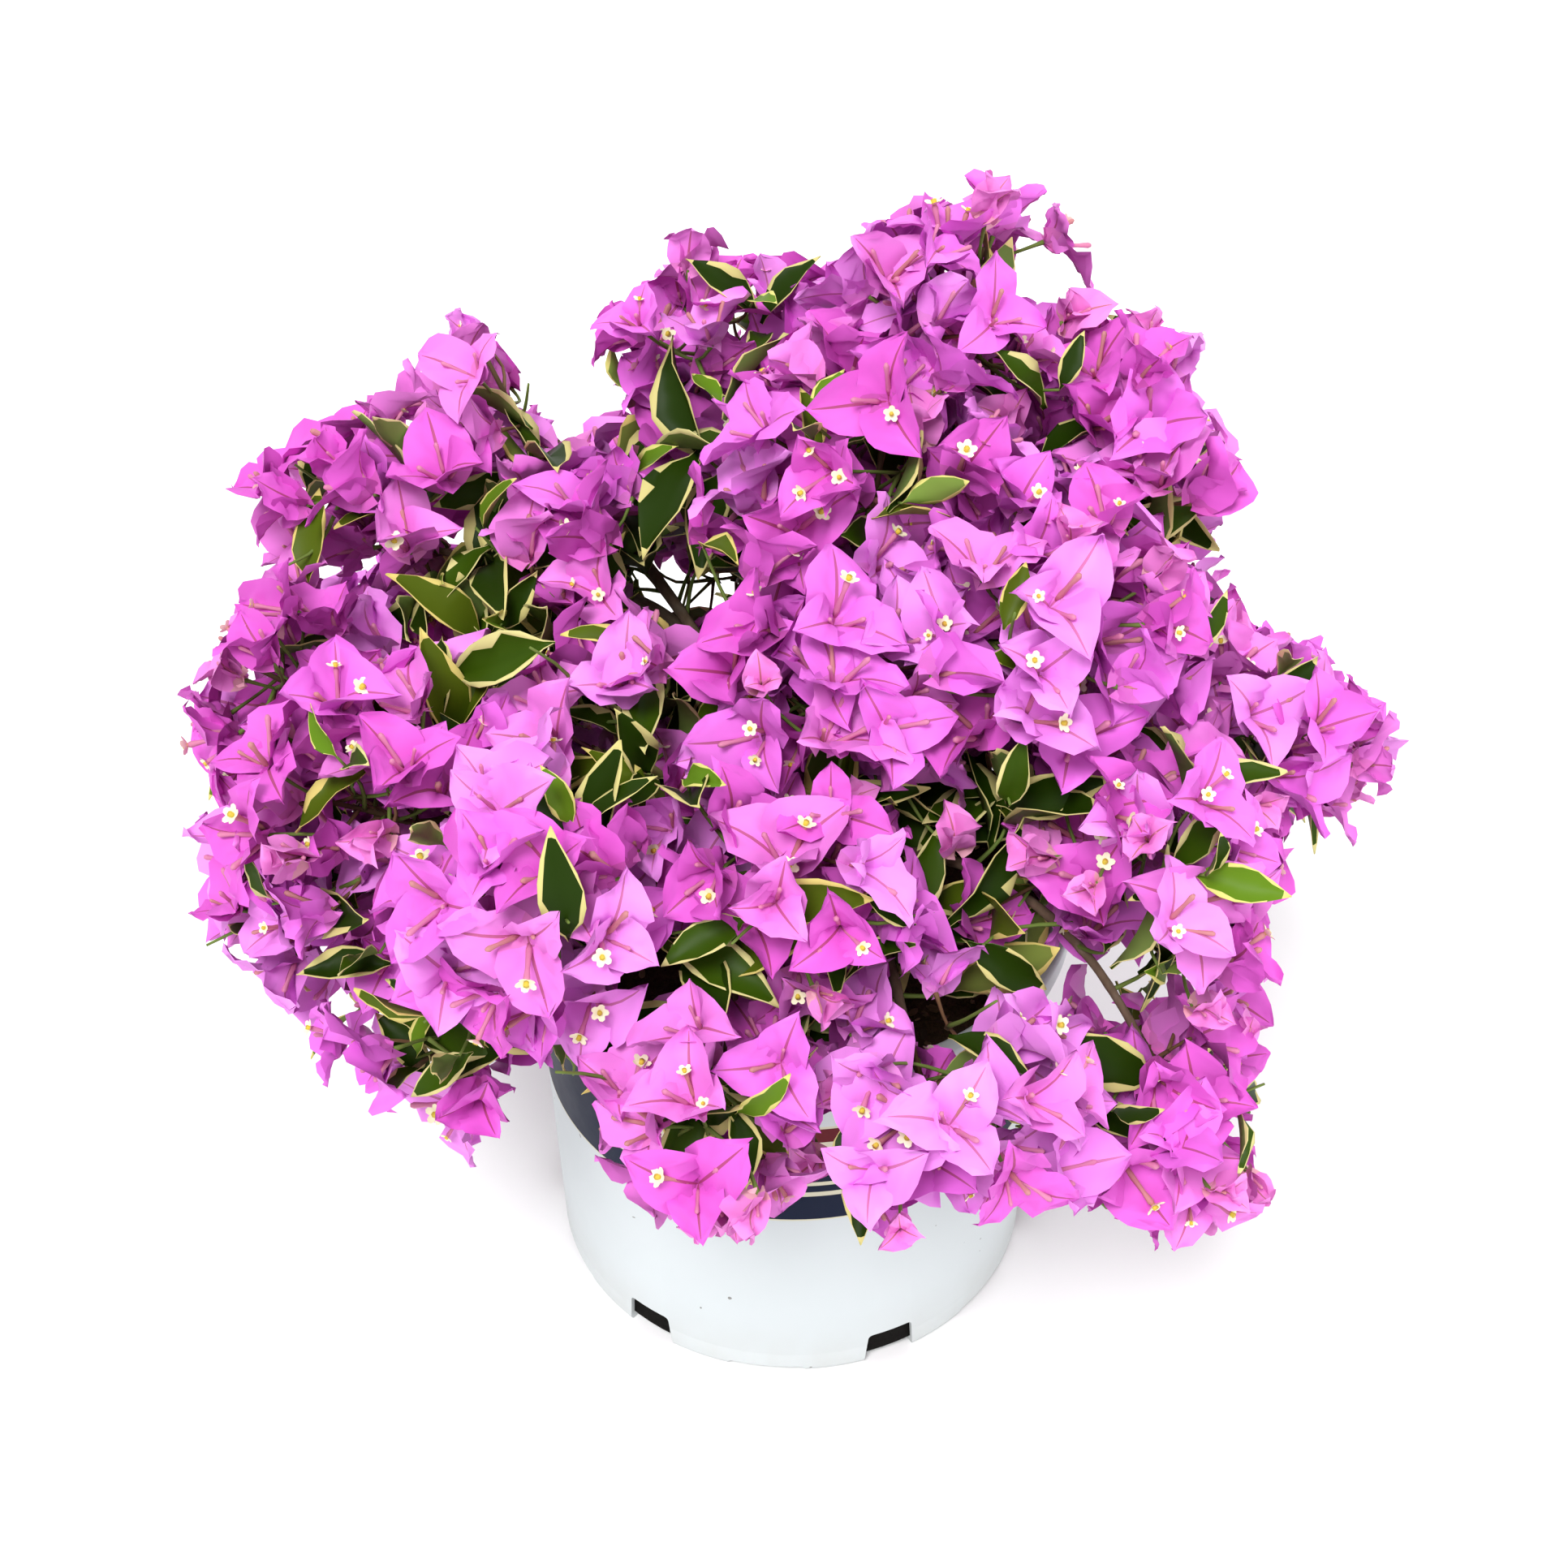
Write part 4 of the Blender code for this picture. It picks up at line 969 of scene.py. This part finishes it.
class Mass:
    """One mass as it grows: its space, its stem, and the blooms and leaves so far."""

    def __init__(self, branch, seed):
        self.branch = branch
        self.draw = random.Random(seed)
        self.centre = centre_of(branch)
        self.outward = outward_of(branch)
        self.normals, self.offsets = cell_of(branch)
        self.stem = stem_of(branch)
        self.blooms, self.twigs, self.sprigs = [], [], []

    def inside(self, points):
        """Whether points keep to the mass's sphere, or to the crown's inner parts next to it."""
        array = np.array(points)
        run = array - np.array(self.centre)
        out = run @ np.array(self.outward)
        run -= np.outer(out * (1 - 1 / self.branch.stretch), np.array(self.outward))
        apart = np.linalg.norm(run, axis=1)
        own = apart < self.branch.spread + SPACE_SLACK
        between = (apart < self.branch.spread * FILL_REACH) & in_crown(array)
        in_cell = (array @ self.normals.T < self.offsets + SPACE_SLACK).all()
        return in_cell and (own | between).all() and clear_of_pot(points) and in_outline(points)

    def bract_fits(self, place, forward, upper, size):
        """Whether a bract keeps its tip to the mass's space and its sides to the crown's outline."""
        tip = place + forward * BRACT_LENGTH * size
        aside = upper.cross(forward) * BRACT_WIDTH * size
        middles = [place.lerp(tip, share) for share, _ in BRACT_CHECKS]
        sides = [middle + aside * wide for middle, (_, wide) in zip(middles, BRACT_CHECKS)]
        sides += [middle - aside * wide for middle, (_, wide) in zip(middles, BRACT_CHECKS)]
        in_open = in_outline([middles[-1], *sides]) and not in_hollow(place.lerp(tip, HOLLOW_CHECK))
        return self.inside([tip]) and in_open

    def twig_to(self, place, arrival):
        """A twig's line, from the stem or the middle of an earlier twig, whichever is nearer."""
        root = self.stem.points[0]
        reach = (place - root).length
        whole = (self.stem.points[-1] - root).length
        least, most, share = TWIG_FORK
        start, _ = along(self.stem.points, min(most, max(least, share * reach / whole)))
        forks = [start] + [twig[1] for twig in self.twigs if (twig[1] - root).length < reach * TWIG_INNER]
        start = min(forks, key=lambda fork: (fork - place).length)
        back, middle_share = TWIG_BEND
        middle = start.lerp(place - arrival * (place - start).length * back, middle_share)
        return [start, middle, place]

    def facing(self, direction):
        own, common, upward, wild = BLOOM_FACING
        chance = Vector([self.draw.uniform(-1, 1) for _ in range(3)])
        way = direction * own + self.outward * common + Vector((0, 0, upward)) + chance * wild
        return way.normalized()

    def add_bloom(self, direction, places):
        """A bloom at the first of some places where it fits, with bracts as large as fit."""
        axis = self.facing(direction)
        side = side_of(axis, self.draw.uniform(0, 2 * pi))
        age = self.draw.random()
        young = age < YOUNG_AGE
        opening = YOUNG_OPENING if young else self.draw.uniform(*BRACT_OPENINGS)
        spreads = [radians(opening + self.draw.uniform(*OPENING_PLAY)) for _ in range(3)]
        size = self.draw.uniform(*(YOUNG_SIZES if young else FULL_SIZES))
        for place in places:
            if not room_for(place, BLOOM_SPACING, SPRIG_SPACING) or not self.inside([place]):
                continue
            scales = []
            for way in bract_ways(axis, side, spreads):
                fits = [scale for scale in BRACT_SCALES if self.bract_fits(place, *way, size * scale)]
                scales.append(fits[0] * size if fits else 0.0)
            if min(scales) > 0.0:
                self.twigs.append(self.twig_to(place, axis))
                self.blooms.append(Bloom(place, axis, side, spreads, scales, age))
                bloom_places.append(place[:])
                return

    def add_sprig(self, direction, places):
        """A leafy shoot that ends at the first of some places where it fits."""
        axis = self.facing(direction)
        start = self.draw.uniform(0, 360)
        count = self.draw.randint(*SPRIG_LEAVES)
        for place in places:
            reach = HOLLOW_SPRIG_REACH if in_hollow(place) else SPRIG_REACH
            if not room_for(place, SPRIG_SPACING, reach) or not self.inside([place]):
                continue
            sprig_places.append(place[:])
            leaves = []
            for k in range(count):
                height = k / (count - 1)
                at = place - axis * SPRIG_STEP * (count - 1 - k) * SPRIG_STRETCH
                least, most = SPRIG_SPREADS
                spread = most + (least - most) * height + self.draw.uniform(*SPRIG_PLAY)
                radial = side_of(axis, radians(start + GOLDEN_ANGLE * k))
                way = spread_from(axis, radial, radians(spread))
                size = (SPRIG_SIZES[0] - SPRIG_SIZES[1] * height) * self.draw.uniform(*SIZE_PLAY)
                age = 1 - height * self.draw.uniform(*AGE_PLAY)
                matrix = frame_at(at, *way) @ Matrix.Scale(size, 4)
                if leaf_fits(matrix) and self.inside([matrix @ LEAF_TIP]):
                    leaves.append(Leaf(matrix, age))
            self.sprigs.append(Sprig(self.twig_to(place, axis), leaves))
            return

    def add(self, leafy, direction, places, leaf_places):
        """A sprig for a share of the tries and in the hollows, and a bloom elsewhere."""
        if self.draw.random() < leafy or in_hollow(places[:2][-1]):
            self.add_sprig(direction, leaf_places)
        else:
            self.add_bloom(direction, places)

    def grow(self):
        """Blooms and sprigs near the mass's surface, those that face out first, then more further in."""
        leafy = LEAFY_SHARES.get(self.branch.name, SPRIG_SHARE)
        start = self.draw.uniform(0, 360)
        tries = []
        for i in range(BLOOM_TRIES):
            z = 1 - (2 * i + 1) / BLOOM_TRIES
            turn = radians(start + GOLDEN_ANGLE * i)
            ring = sqrt(1 - z * z)
            tries.append(Vector((ring * cos(turn), ring * sin(turn), z)))

        def turn_of(way):
            return -(way.dot(self.outward) + TOP_FIRST * way.z + self.draw.uniform(*ORDER_PLAY))

        tries.sort(key=turn_of)
        for direction in tries:
            stretched = direction + self.outward * direction.dot(self.outward) * (self.branch.stretch - 1)
            surface = self.centre + stretched * self.branch.spread
            places = [surface - direction * BRACT_LENGTH * depth for depth in BLOOM_DEPTHS]
            leaf_places = [surface - direction * LEAF_LENGTH * depth for depth in LEAF_DEPTHS]
            self.add(leafy, direction, places, leaf_places)
        for _ in range(FILL_TRIES):
            chance = Vector([self.draw.gauss(0, 1) for _ in range(3)]).normalized()
            reach = self.branch.spread * FILL_REACH * self.draw.uniform(0.1, 1) ** (1 / 3)
            place = self.centre + chance * reach
            self.add(leafy, (place - CROWN_HEART).normalized(), [place], [place])

    def leaf_bough(self, limb):
        """Leafy shoots on the bough itself, under and between the masses."""
        count = int(sum(steps_of(limb.points)) / SHOOT_STEP)
        for i in range(count):
            share = SHOOT_FOOT + (1 - SHOOT_FOOT) * (i + self.draw.random()) / count
            start, onward = along(limb.points, share)
            radial = side_of(onward, radians(GOLDEN_ANGLE * i + self.draw.uniform(*SHOOT_PLAY)))
            up = Vector((0, 0, self.draw.uniform(*SHOOT_RISE)))
            axis = (onward * SHOOT_ONWARD + radial + up).normalized()
            reach = self.draw.uniform(*SHOOT_REACH)
            tip = start + axis * reach
            bend = start.lerp(tip, 0.5) + onward * reach * SHOOT_BEND
            if not in_inner_crown([tip, bend]) or not clear_of_wood([tip]):
                continue
            leaves = []
            pairs = self.draw.randint(*SHOOT_LEAVES)
            for k in range(pairs):
                at, way = along([start, bend, tip], SHOOT_BARE + (1 - SHOOT_BARE) * k / (pairs - 1))
                radial = side_of(way, radians(GOLDEN_ANGLE * k + i * SHOOT_TURN))
                spread = radians(self.draw.uniform(*SHOOT_SPREADS))
                forward, upper = spread_from(way, radial, spread)
                size = self.draw.uniform(*SHOOT_SIZES)
                matrix = frame_at(at, forward, upper + LEAF_UP) @ Matrix.Scale(size, 4)
                if leaf_fits(matrix) and in_inner_crown([matrix @ LEAF_TIP]):
                    leaves.append(Leaf(matrix, 1.0))
            self.sprigs.append(Sprig([start, bend, tip], leaves))


masses = []
for seed, branch in enumerate(BRANCHES, 11):
    mass = Mass(branch, seed)
    mass.grow()
    mass.leaf_bough(limbs[branch.name])
    masses.append(mass)


# ---- The bracts
# Three papery bracts make each bloom: broad, heart-shaped at the base and drawn to a point, folded a little
# along a rose-brown midrib, with wavy edges and ribs pressed in like crumpled tissue.

# Shares of a bract's length, with its width there as a share of the whole
BRACT_OUTLINE = (
    (0.0, 0.14), (0.04, 0.54), (0.11, 0.80), (0.22, 0.96), (0.36, 1.0),
    (0.51, 0.965), (0.67, 0.83), (0.82, 0.56), (0.93, 0.22), (1.0, 0.015),
)
BRACT_COLUMNS = (-1.0, -0.67, -0.34, -0.05, 0.05, 0.34, 0.67, 1.0)
# What each bract's shape draws: its width, fold, roll, arch and curl, its waves' height, number and phase,
# and its twist, lean and crumple
BRACT_SPANS = (
    (0.86, 1.08), (0.05, 0.55), (-0.16, 0.20), (0.06, 0.20), (-0.14, 0.24), (0.0015, 0.0038), (1.2, 2.4),
    (0, 6.3), (-0.35, 0.35), (-0.08, 0.08), (0.0009, 0.0015),
)
BRACT_FORMS = 14
BRACT_NOTCH = 0.15
OTHER_SIDE = 1.9  # the waves' phase across the midrib
BRACT_KINDS = 3  # of face: the blade, the part by the throat and the midrib
MIDRIB_WIDTH = 0.03
MIDRIB_END = 0.88
THROAT_END = 0.10


def blade_grid(columns, outline, length, width):
    """A grid of faces in a leaf's outline, along +X, with each vert's share along and across it."""
    work = bmesh.new()
    across, rows = len(columns), len(outline)
    bmesh.ops.create_grid(work, x_segments=rows - 1, y_segments=across - 1, size=0.5)
    shares = {}
    for vert in work.verts:
        share, wide = outline[round((vert.co.x + 0.5) * (rows - 1))]
        column = columns[round((vert.co.y + 0.5) * (across - 1))]
        shares[vert.index] = (share, column)
        vert.co = (length * share, width / 2 * wide * column, 0)
    return work, shares


def middle_of(face, shares):
    return [sum(shares[vert.index][k] for vert in face.verts) / 4 for k in (0, 1)]


def twisted(x, y, rise, turn):
    return x, y * cos(turn) - rise * sin(turn), rise * cos(turn) + y * sin(turn)


def bract_form(seed):
    """One of the bracts' shapes: all differ in how they fold, bend, twist and crumple."""
    draw = random.Random(seed)
    widen, fold, roll, arch, curl, wave, waves, phase, twist, lean, crumple = (
        draw.uniform(*span) for span in BRACT_SPANS
    )
    work, shares = blade_grid(BRACT_COLUMNS, BRACT_OUTLINE, BRACT_LENGTH, BRACT_WIDTH * widen)
    for vert in work.verts:
        share, across = shares[vert.index]
        x, y, _ = vert.co
        edge = abs(across)
        row = [s for s, _ in BRACT_OUTLINE].index(share)
        rise = abs(y) * fold + BRACT_LENGTH * (arch * sin(pi * share) - curl * share**2.2)
        ripple = sin(waves * 2 * pi * share + phase + (OTHER_SIDE if across > 0 else 0))
        rise += (BRACT_WIDTH * roll + wave * ripple) * edge**2
        if 0.05 < edge < 0.9 and 0 < share < 1:
            rise += crumple * (1 if (row + round(edge * 3)) % 2 else -1)
        y += lean * BRACT_LENGTH * share**2
        x -= BRACT_NOTCH * BRACT_LENGTH * edge**2 * exp(-share * 10)
        vert.co = twisted(x, y, rise, twist * share)
    for face in work.faces:
        share, across = middle_of(face, shares)
        on_midrib = abs(across) < MIDRIB_WIDTH and share < MIDRIB_END
        face.material_index = 2 if on_midrib else int(share < THROAT_END)
    return form_of(work)


# The tints: blade, throat and midrib of full blooms in light to deep pink, and of young ones
BRACT_TINTS = [
    ("pink", (0.75, 0.165, 0.70), (0.66, 0.16, 0.56), (0.43, 0.085, 0.24)),
    ("pink_pale", (0.82, 0.270, 0.80), (0.76, 0.26, 0.68), (0.50, 0.14, 0.32)),
    ("pink_deep", (0.68, 0.112, 0.58), (0.55, 0.10, 0.43), (0.36, 0.055, 0.17)),
    ("pink_blush", (0.78, 0.215, 0.69), (0.71, 0.20, 0.55), (0.45, 0.10, 0.24)),
    ("pink_young", (0.80, 0.240, 0.65), (0.76, 0.38, 0.46), (0.46, 0.15, 0.20)),
]
bract_finishes = []
for name, *colours in BRACT_TINTS:
    for part, colour in zip(("blade", "throat", "midrib"), colours):
        bract_finishes.append(Finish(f"bract_{name}_{part}", colour, 0.55))

bract_forms = [bract_form(seed) for seed in range(BRACT_FORMS)]
mass_nodes = [f"mass_{branch.name}" for branch in BRANCHES]
bract_pieces = []
# The bracts are in three pieces, each with a third of the masses
for part in range(3):
    bract_copies = []
    for mass in masses[part::3]:
        mass_tint = mass.draw.choice((0, 0, 1, 1, 2, 3))
        for bloom in mass.blooms:
            tint = 4 if bloom.age < YOUNG_AGE else mass.draw.choice((mass_tint, mass_tint, 0, 1, 2, 3))
            for way, scale in zip(bract_ways(bloom.axis, bloom.side, bloom.spreads), bloom.scales):
                matrix = frame_at(bloom.place, *way) @ Matrix.Scale(scale, 4)
                bract_copies.append((mass.draw.choice(bract_forms), matrix, tint * BRACT_KINDS))
    name = f"bracts_{part + 1}"
    bract_mesh = joined(name, bract_copies)
    bract_pieces.append(show(name, bract_mesh, bract_finishes, "bloom", *mass_nodes[part::3]))


# ---- The small true flowers
# In each bloom three slim rosy tubes stand on the bracts' midribs, swollen at the foot and the tip. About
# one in three has opened into a small five-lobed cream star with a yellow throat.

TUBE_LENGTH = 0.019
TUBE_LEVELS = (0, 0.18, 0.65, 0.92, 1.0)
TUBE_RADII = (0.0009, 0.0014, 0.0010, 0.0015, 0.0008)
TUBE_LEAN = 26.0
LEAN_PLAY = (-10, 12)
TUBE_FOOT = (0.004, 0.0008)  # along its bract and above it
TUBE_SIZES = (0.85, 1.15)
STAR_RADIUS = 0.0044
STAR_WAIST = 0.66
STAR_RISE = 0.0009
STAR_HOLLOW = 0.0014
STAR_LIFT = 0.0008
STAR_SHARE = 0.30
STAR_AGE = 0.25


def flower_star():
    """Five lobes round a throat: a fan of corners, those between the lobes drawn in."""
    work = bmesh.new()
    bmesh.ops.create_circle(work, cap_ends=True, cap_tris=True, segments=20, radius=STAR_RADIUS)
    for vert in work.verts:
        if vert.co.length / STAR_RADIUS > 0.5:
            turn = atan2(vert.co.y, vert.co.x)
            lobe = STAR_WAIST + (1 - STAR_WAIST) * abs(cos(turn * 2.5)) ** 0.8
            vert.co *= lobe
            vert.co.z = STAR_RISE * (lobe - STAR_WAIST) / (1 - STAR_WAIST)
        else:
            vert.co.z = -STAR_HOLLOW
    return form_of(work)


def flower_throat():
    work = bmesh.new()
    bmesh.ops.create_cone(work, cap_ends=True, segments=6, radius1=0.0010, radius2=0.0013, depth=0.0022)
    return form_of(work)


tube_form = tube([Vector((0, 0, TUBE_LENGTH * level)) for level in TUBE_LEVELS], TUBE_RADII, 5)
star_form, throat_form = flower_star(), flower_throat()
flower_copies = []
for mass in masses:
    for bloom in mass.blooms:
        for (forward, upper), scale in zip(bract_ways(bloom.axis, bloom.side, bloom.spreads), bloom.scales):
            radial = (forward - bloom.axis * forward.dot(bloom.axis)).normalized()
            lean = radians(TUBE_LEAN + mass.draw.uniform(*LEAN_PLAY))
            way, _ = spread_from(bloom.axis, radial, lean)
            size = scale * mass.draw.uniform(*TUBE_SIZES)
            foot = bloom.place + forward * TUBE_FOOT[0] * scale + upper * TUBE_FOOT[1]
            stand = frame_at(foot, side_of(way, mass.draw.uniform(0, 6.3)), way) @ Matrix.Scale(size, 4)
            flower_copies.append((tube_form, stand, mass.draw.choice((0, 0, 1))))
            if bloom.age > STAR_AGE and mass.draw.random() < STAR_SHARE:
                top = stand @ Matrix.Translation((0, 0, TUBE_LENGTH + STAR_LIFT))
                flower_copies += [(star_form, top, 2), (throat_form, top, 3)]
flower_finishes = [
    Finish("flower_tube_rose", (0.58, 0.20, 0.33), 0.6),
    Finish("flower_tube_brown", (0.50, 0.21, 0.21), 0.6),
    Finish("flower_star_cream", (0.90, 0.86, 0.60), 0.55),
    Finish("flower_throat_yellow", (0.62, 0.46, 0.05), 0.6),
]
show("flowers", joined("flowers", flower_copies), flower_finishes, "bloom")


# ---- The leaves
# Lance-shaped leaves, leathery and folded along the midrib, dark green with an uneven cream margin and a
# paler underside. The youngest are small and bright, in tufts at the twigs' ends.

LEAF_THICKNESS = 0.00035
LEAF_OUTLINE = (
    (0.0, 0.07), (0.08, 0.20), (0.20, 0.66), (0.35, 0.94), (0.50, 1.0),
    (0.66, 0.86), (0.80, 0.58), (0.92, 0.24), (1.0, 0.02),
)
LEAF_COLUMNS = (-1.0, -0.91, 0.0, 0.91, 1.0)
# What each leaf's shape draws: its fold and droop, its wave's height and phase, and its twist
LEAF_SPANS = ((0.30, 1.15), (0.05, 0.55), (0.0008, 0.0024), (0, 6.3), (-0.6, 0.6))
LEAF_FORMS = 12
FIRST_LEAF = 40
LEAF_WAVE = 3.4
LEAF_OTHER_SIDE = 2.2
NARROW_SHARES = (0.85, 0.65, 0.4)  # of the margin's corners
NARROW_MARGIN = (0.93, 1.06)
WIDE_MARGIN = (0.55, 0.90)
MARGIN_START = 0.7
MARGIN_SHARE = 0.93
TIP_START = 0.9
LEAF_TURNS = (
    (0, 0), (0, -18), (16, 0), (-16, 0), (0, 18), (30, -12), (-30, -12),
    (0, -38), (24, -30), (-24, -30), (48, -16), (-48, -16), (0, -60),
)
LEAF_SIZES = (1.0, 0.8, 0.62)
LEAF_KINDS = 3  # of face: the upper side, the cream margin and the underside
YOUNG_LEAF_AGE = 0.3
LINE_SIDES = (-0.8, 0.0, 0.8)
LINE_SHARES = (0.25, 0.4, 0.55, 0.7, 0.85, 1.0)


def leaf_form(seed):
    draw = random.Random(seed)
    work, shares = blade_grid(LEAF_COLUMNS, LEAF_OUTLINE, LEAF_LENGTH, LEAF_WIDTH)
    fold, droop, wave, phase, twist = (draw.uniform(*span) for span in LEAF_SPANS)
    narrow = draw.choice(NARROW_SHARES)
    for face in work.faces:
        _, across = middle_of(face, shares)
        on_edge = abs(across) > MARGIN_START and draw.random() < MARGIN_SHARE
        at_tip = min(shares[vert.index][0] for vert in face.verts) > TIP_START
        face.material_index = int(on_edge or at_tip)
    for vert in work.verts:
        share, across = shares[vert.index]
        x, y, _ = vert.co
        if abs(across) == LEAF_COLUMNS[-2]:
            y *= draw.uniform(*(NARROW_MARGIN if draw.random() < narrow else WIDE_MARGIN))
        rise = abs(y) * fold - LEAF_LENGTH * droop * share**2
        ripple = sin(LEAF_WAVE * pi * share + phase + (LEAF_OTHER_SIDE if across > 0 else 0))
        rise += wave * abs(across) ** 2 * ripple
        vert.co = twisted(x, y, rise, twist * share)
    bmesh.ops.recalc_face_normals(work, faces=work.faces)
    if sum(face.normal.z for face in work.faces) < 0:
        bmesh.ops.reverse_faces(work, faces=work.faces)
    upper = set(work.faces)
    bmesh.ops.solidify(work, geom=list(work.faces), thickness=LEAF_THICKNESS)
    work.normal_update()
    for face in work.faces:
        if face not in upper and face.material_index != 1:
            face.material_index = 2
    return form_of(work)


LEAF_TINTS = [
    ("dark", (0.014, 0.034, 0.001), (0.60, 0.54, 0.21), (0.12, 0.19, 0.045)),
    ("mid", (0.032, 0.070, 0.002), (0.64, 0.59, 0.25), (0.16, 0.24, 0.055)),
    ("olive", (0.072, 0.108, 0.005), (0.66, 0.55, 0.17), (0.18, 0.23, 0.045)),
    ("young", (0.105, 0.205, 0.010), (0.66, 0.63, 0.19), (0.18, 0.28, 0.05)),
]
leaf_finishes = []
for name, *colours in LEAF_TINTS:
    for part, colour, roughness in zip(("top", "margin", "under"), colours, (0.42, 0.55, 0.55)):
        leaf_finishes.append(Finish(f"leaf_{name}_{part}", colour, roughness, 0.09))

graph = bpy.context.evaluated_depsgraph_get()
bract_trees = [BVHTree.FromObject(piece, graph) for piece in bract_pieces]


def leaf_lines(form):
    """Lines along a leaf's middle and sides and across it, as indices of its points."""
    top = form.points[: len(LEAF_OUTLINE) * len(LEAF_COLUMNS), :2]
    found = []
    for side in LINE_SIDES:
        wides = np.interp(LINE_SHARES, *zip(*LEAF_OUTLINE)) * LEAF_WIDTH / 2
        aims = [np.array((LEAF_LENGTH * share, wide * side)) for share, wide in zip(LINE_SHARES, wides)]
        found.append([int(np.linalg.norm(top - aim, axis=1).argmin()) for aim in aims])
    return found + [list(rung) for rung in zip(*found)]


def pierced(form, lines, matrix):
    """Whether a bract cuts through the outer part of a leaf."""
    for line in lines:
        points = [matrix @ Vector(form.points[i]) for i in line]
        for a, b in zip(points, points[1:]):
            run = b - a
            if run.length > 1e-6 and any(tree.ray_cast(a, run, run.length)[0] for tree in bract_trees):
                return True
    return False


# A leaf that bracts would cut through is turned on its stalk or made smaller, or else left off
leaf_kinds = [(form, leaf_lines(form)) for form in (leaf_form(FIRST_LEAF + i) for i in range(LEAF_FORMS))]
leaf_copies = []
leafy_shoots = []
for mass in masses:
    for sprig in mass.sprigs:
        before = len(leaf_copies)
        for leaf in sprig.leaves:
            tint = 3 if leaf.age < YOUNG_LEAF_AGE else mass.draw.choice((0, 0, 0, 1, 1, 2))
            for size, (turn, lean) in itertools.product(LEAF_SIZES, LEAF_TURNS):
                form, lines = mass.draw.choice(leaf_kinds)
                matrix = leaf.matrix @ Matrix.Rotation(radians(turn), 4, "Z")
                matrix = matrix @ Matrix.Rotation(radians(lean), 4, "Y") @ Matrix.Scale(size, 4)
                if leaf_fits(matrix) and not pierced(form, lines, matrix):
                    leaf_copies.append((form, matrix, tint * LEAF_KINDS))
                    break
        if len(leaf_copies) > before:
            leafy_shoots.append(sprig.twig)
show("leaves", joined("leaves", leaf_copies), leaf_finishes, "bloom")


# ---- The stems and twigs
# Young wood: the stems are green-brown and as thick as a matchstick, the twigs thinner and green, each bent
# over to its bloom, with a small swelling where the bracts are set on.

STEM_RINGS = 14
TWIG_RINGS = 7
TWIG_RADII = (0.0012, 0.0009, 0.0008, 0.0008, 0.0013)
SHOOT_RADII = (0.0013, 0.0010, 0.0008, 0.0006)


def stalk(points, radii, rings, sides):
    return tube(smooth_line(points, rings), spread_over(radii, rings), sides)


twig_copies = []
for mass in masses:
    twig_copies.append((stalk(*mass.stem, STEM_RINGS, 8), IN_PLACE, 0))
    for twig in mass.twigs:
        twig_copies.append((stalk(twig, TWIG_RADII, TWIG_RINGS, 5), IN_PLACE, mass.draw.choice((1, 1, 2))))
twig_copies += [(stalk(shoot, SHOOT_RADII, TWIG_RINGS, 5), IN_PLACE, 1) for shoot in leafy_shoots]
twig_finishes = [
    Finish("stem_brown", (0.095, 0.060, 0.030), 0.75, 0.15),
    Finish("twig_green", (0.135, 0.195, 0.040), 0.6, 0.15),
    Finish("twig_russet", (0.15, 0.080, 0.040), 0.65, 0.15),
]
show("twigs", joined("twigs", twig_copies), twig_finishes, "bark")


# ---- The studio
# A pale floor, wide soft light from all round with a low sun from the front, and a camera a little above the
# plant that looks down on it.

CAMERA_PITCH = 39.4
CAMERA_LENS = 55.9
SENSOR_WIDTH = 36.0
FLOOR_DROP = 0.0005
FLOOR_SIZE = 8.0
SKY_STRENGTH = 0.78
SUN_STRENGTH = 2.8
SUN_SPREAD = 22
SUN_WAY = (0.20, 0.55, -0.85)
LIT_POINT = Vector((0, 0, 0.3))
# Each lamp's name, place, width and power
LAMPS = (("fill", (1.5, -0.9, 1.1), 1.4, 9), ("back", (0.4, 1.6, 1.5), 1.2, 12))

bpy.ops.mesh.primitive_plane_add(size=FLOOR_SIZE, location=(0, 0, -FLOOR_DROP))
floor = bpy.context.object
floor.name = "floor"
floor.data.materials.append(Finish("pale_floor", (0.88, 0.88, 0.88), 0.8, 0.2).material)

scene = bpy.context.scene
scene.world = bpy.data.worlds.new("studio")
scene.world.use_nodes = True
sky = scene.world.node_tree.nodes["Background"].inputs
sky["Color"].default_value = (1.0, 1.0, 1.0, 1.0)
sky["Strength"].default_value = SKY_STRENGTH
scene.view_settings.view_transform = "Standard"

daylight = bpy.data.lights.new("key", "SUN")
daylight.energy = SUN_STRENGTH
daylight.angle = radians(SUN_SPREAD)
put("key", daylight).rotation_euler = Vector(SUN_WAY).to_track_quat("-Z", "Y").to_euler()
for name, place, size, power in LAMPS:
    lamp = bpy.data.lights.new(name, "AREA")
    lamp.shape = "DISK"
    lamp.size = size
    lamp.energy = power
    holder = put(name, lamp)
    holder.location = place
    holder.rotation_euler = (LIT_POINT - Vector(place)).to_track_quat("-Z", "Y").to_euler()

lens = bpy.data.cameras.new("camera")
lens.lens = CAMERA_LENS
lens.sensor_width = SENSOR_WIDTH
scene.camera = put("camera", lens)
scene.camera.location = FRONT
scene.camera.rotation_euler = (radians(90 - CAMERA_PITCH), 0, 0)
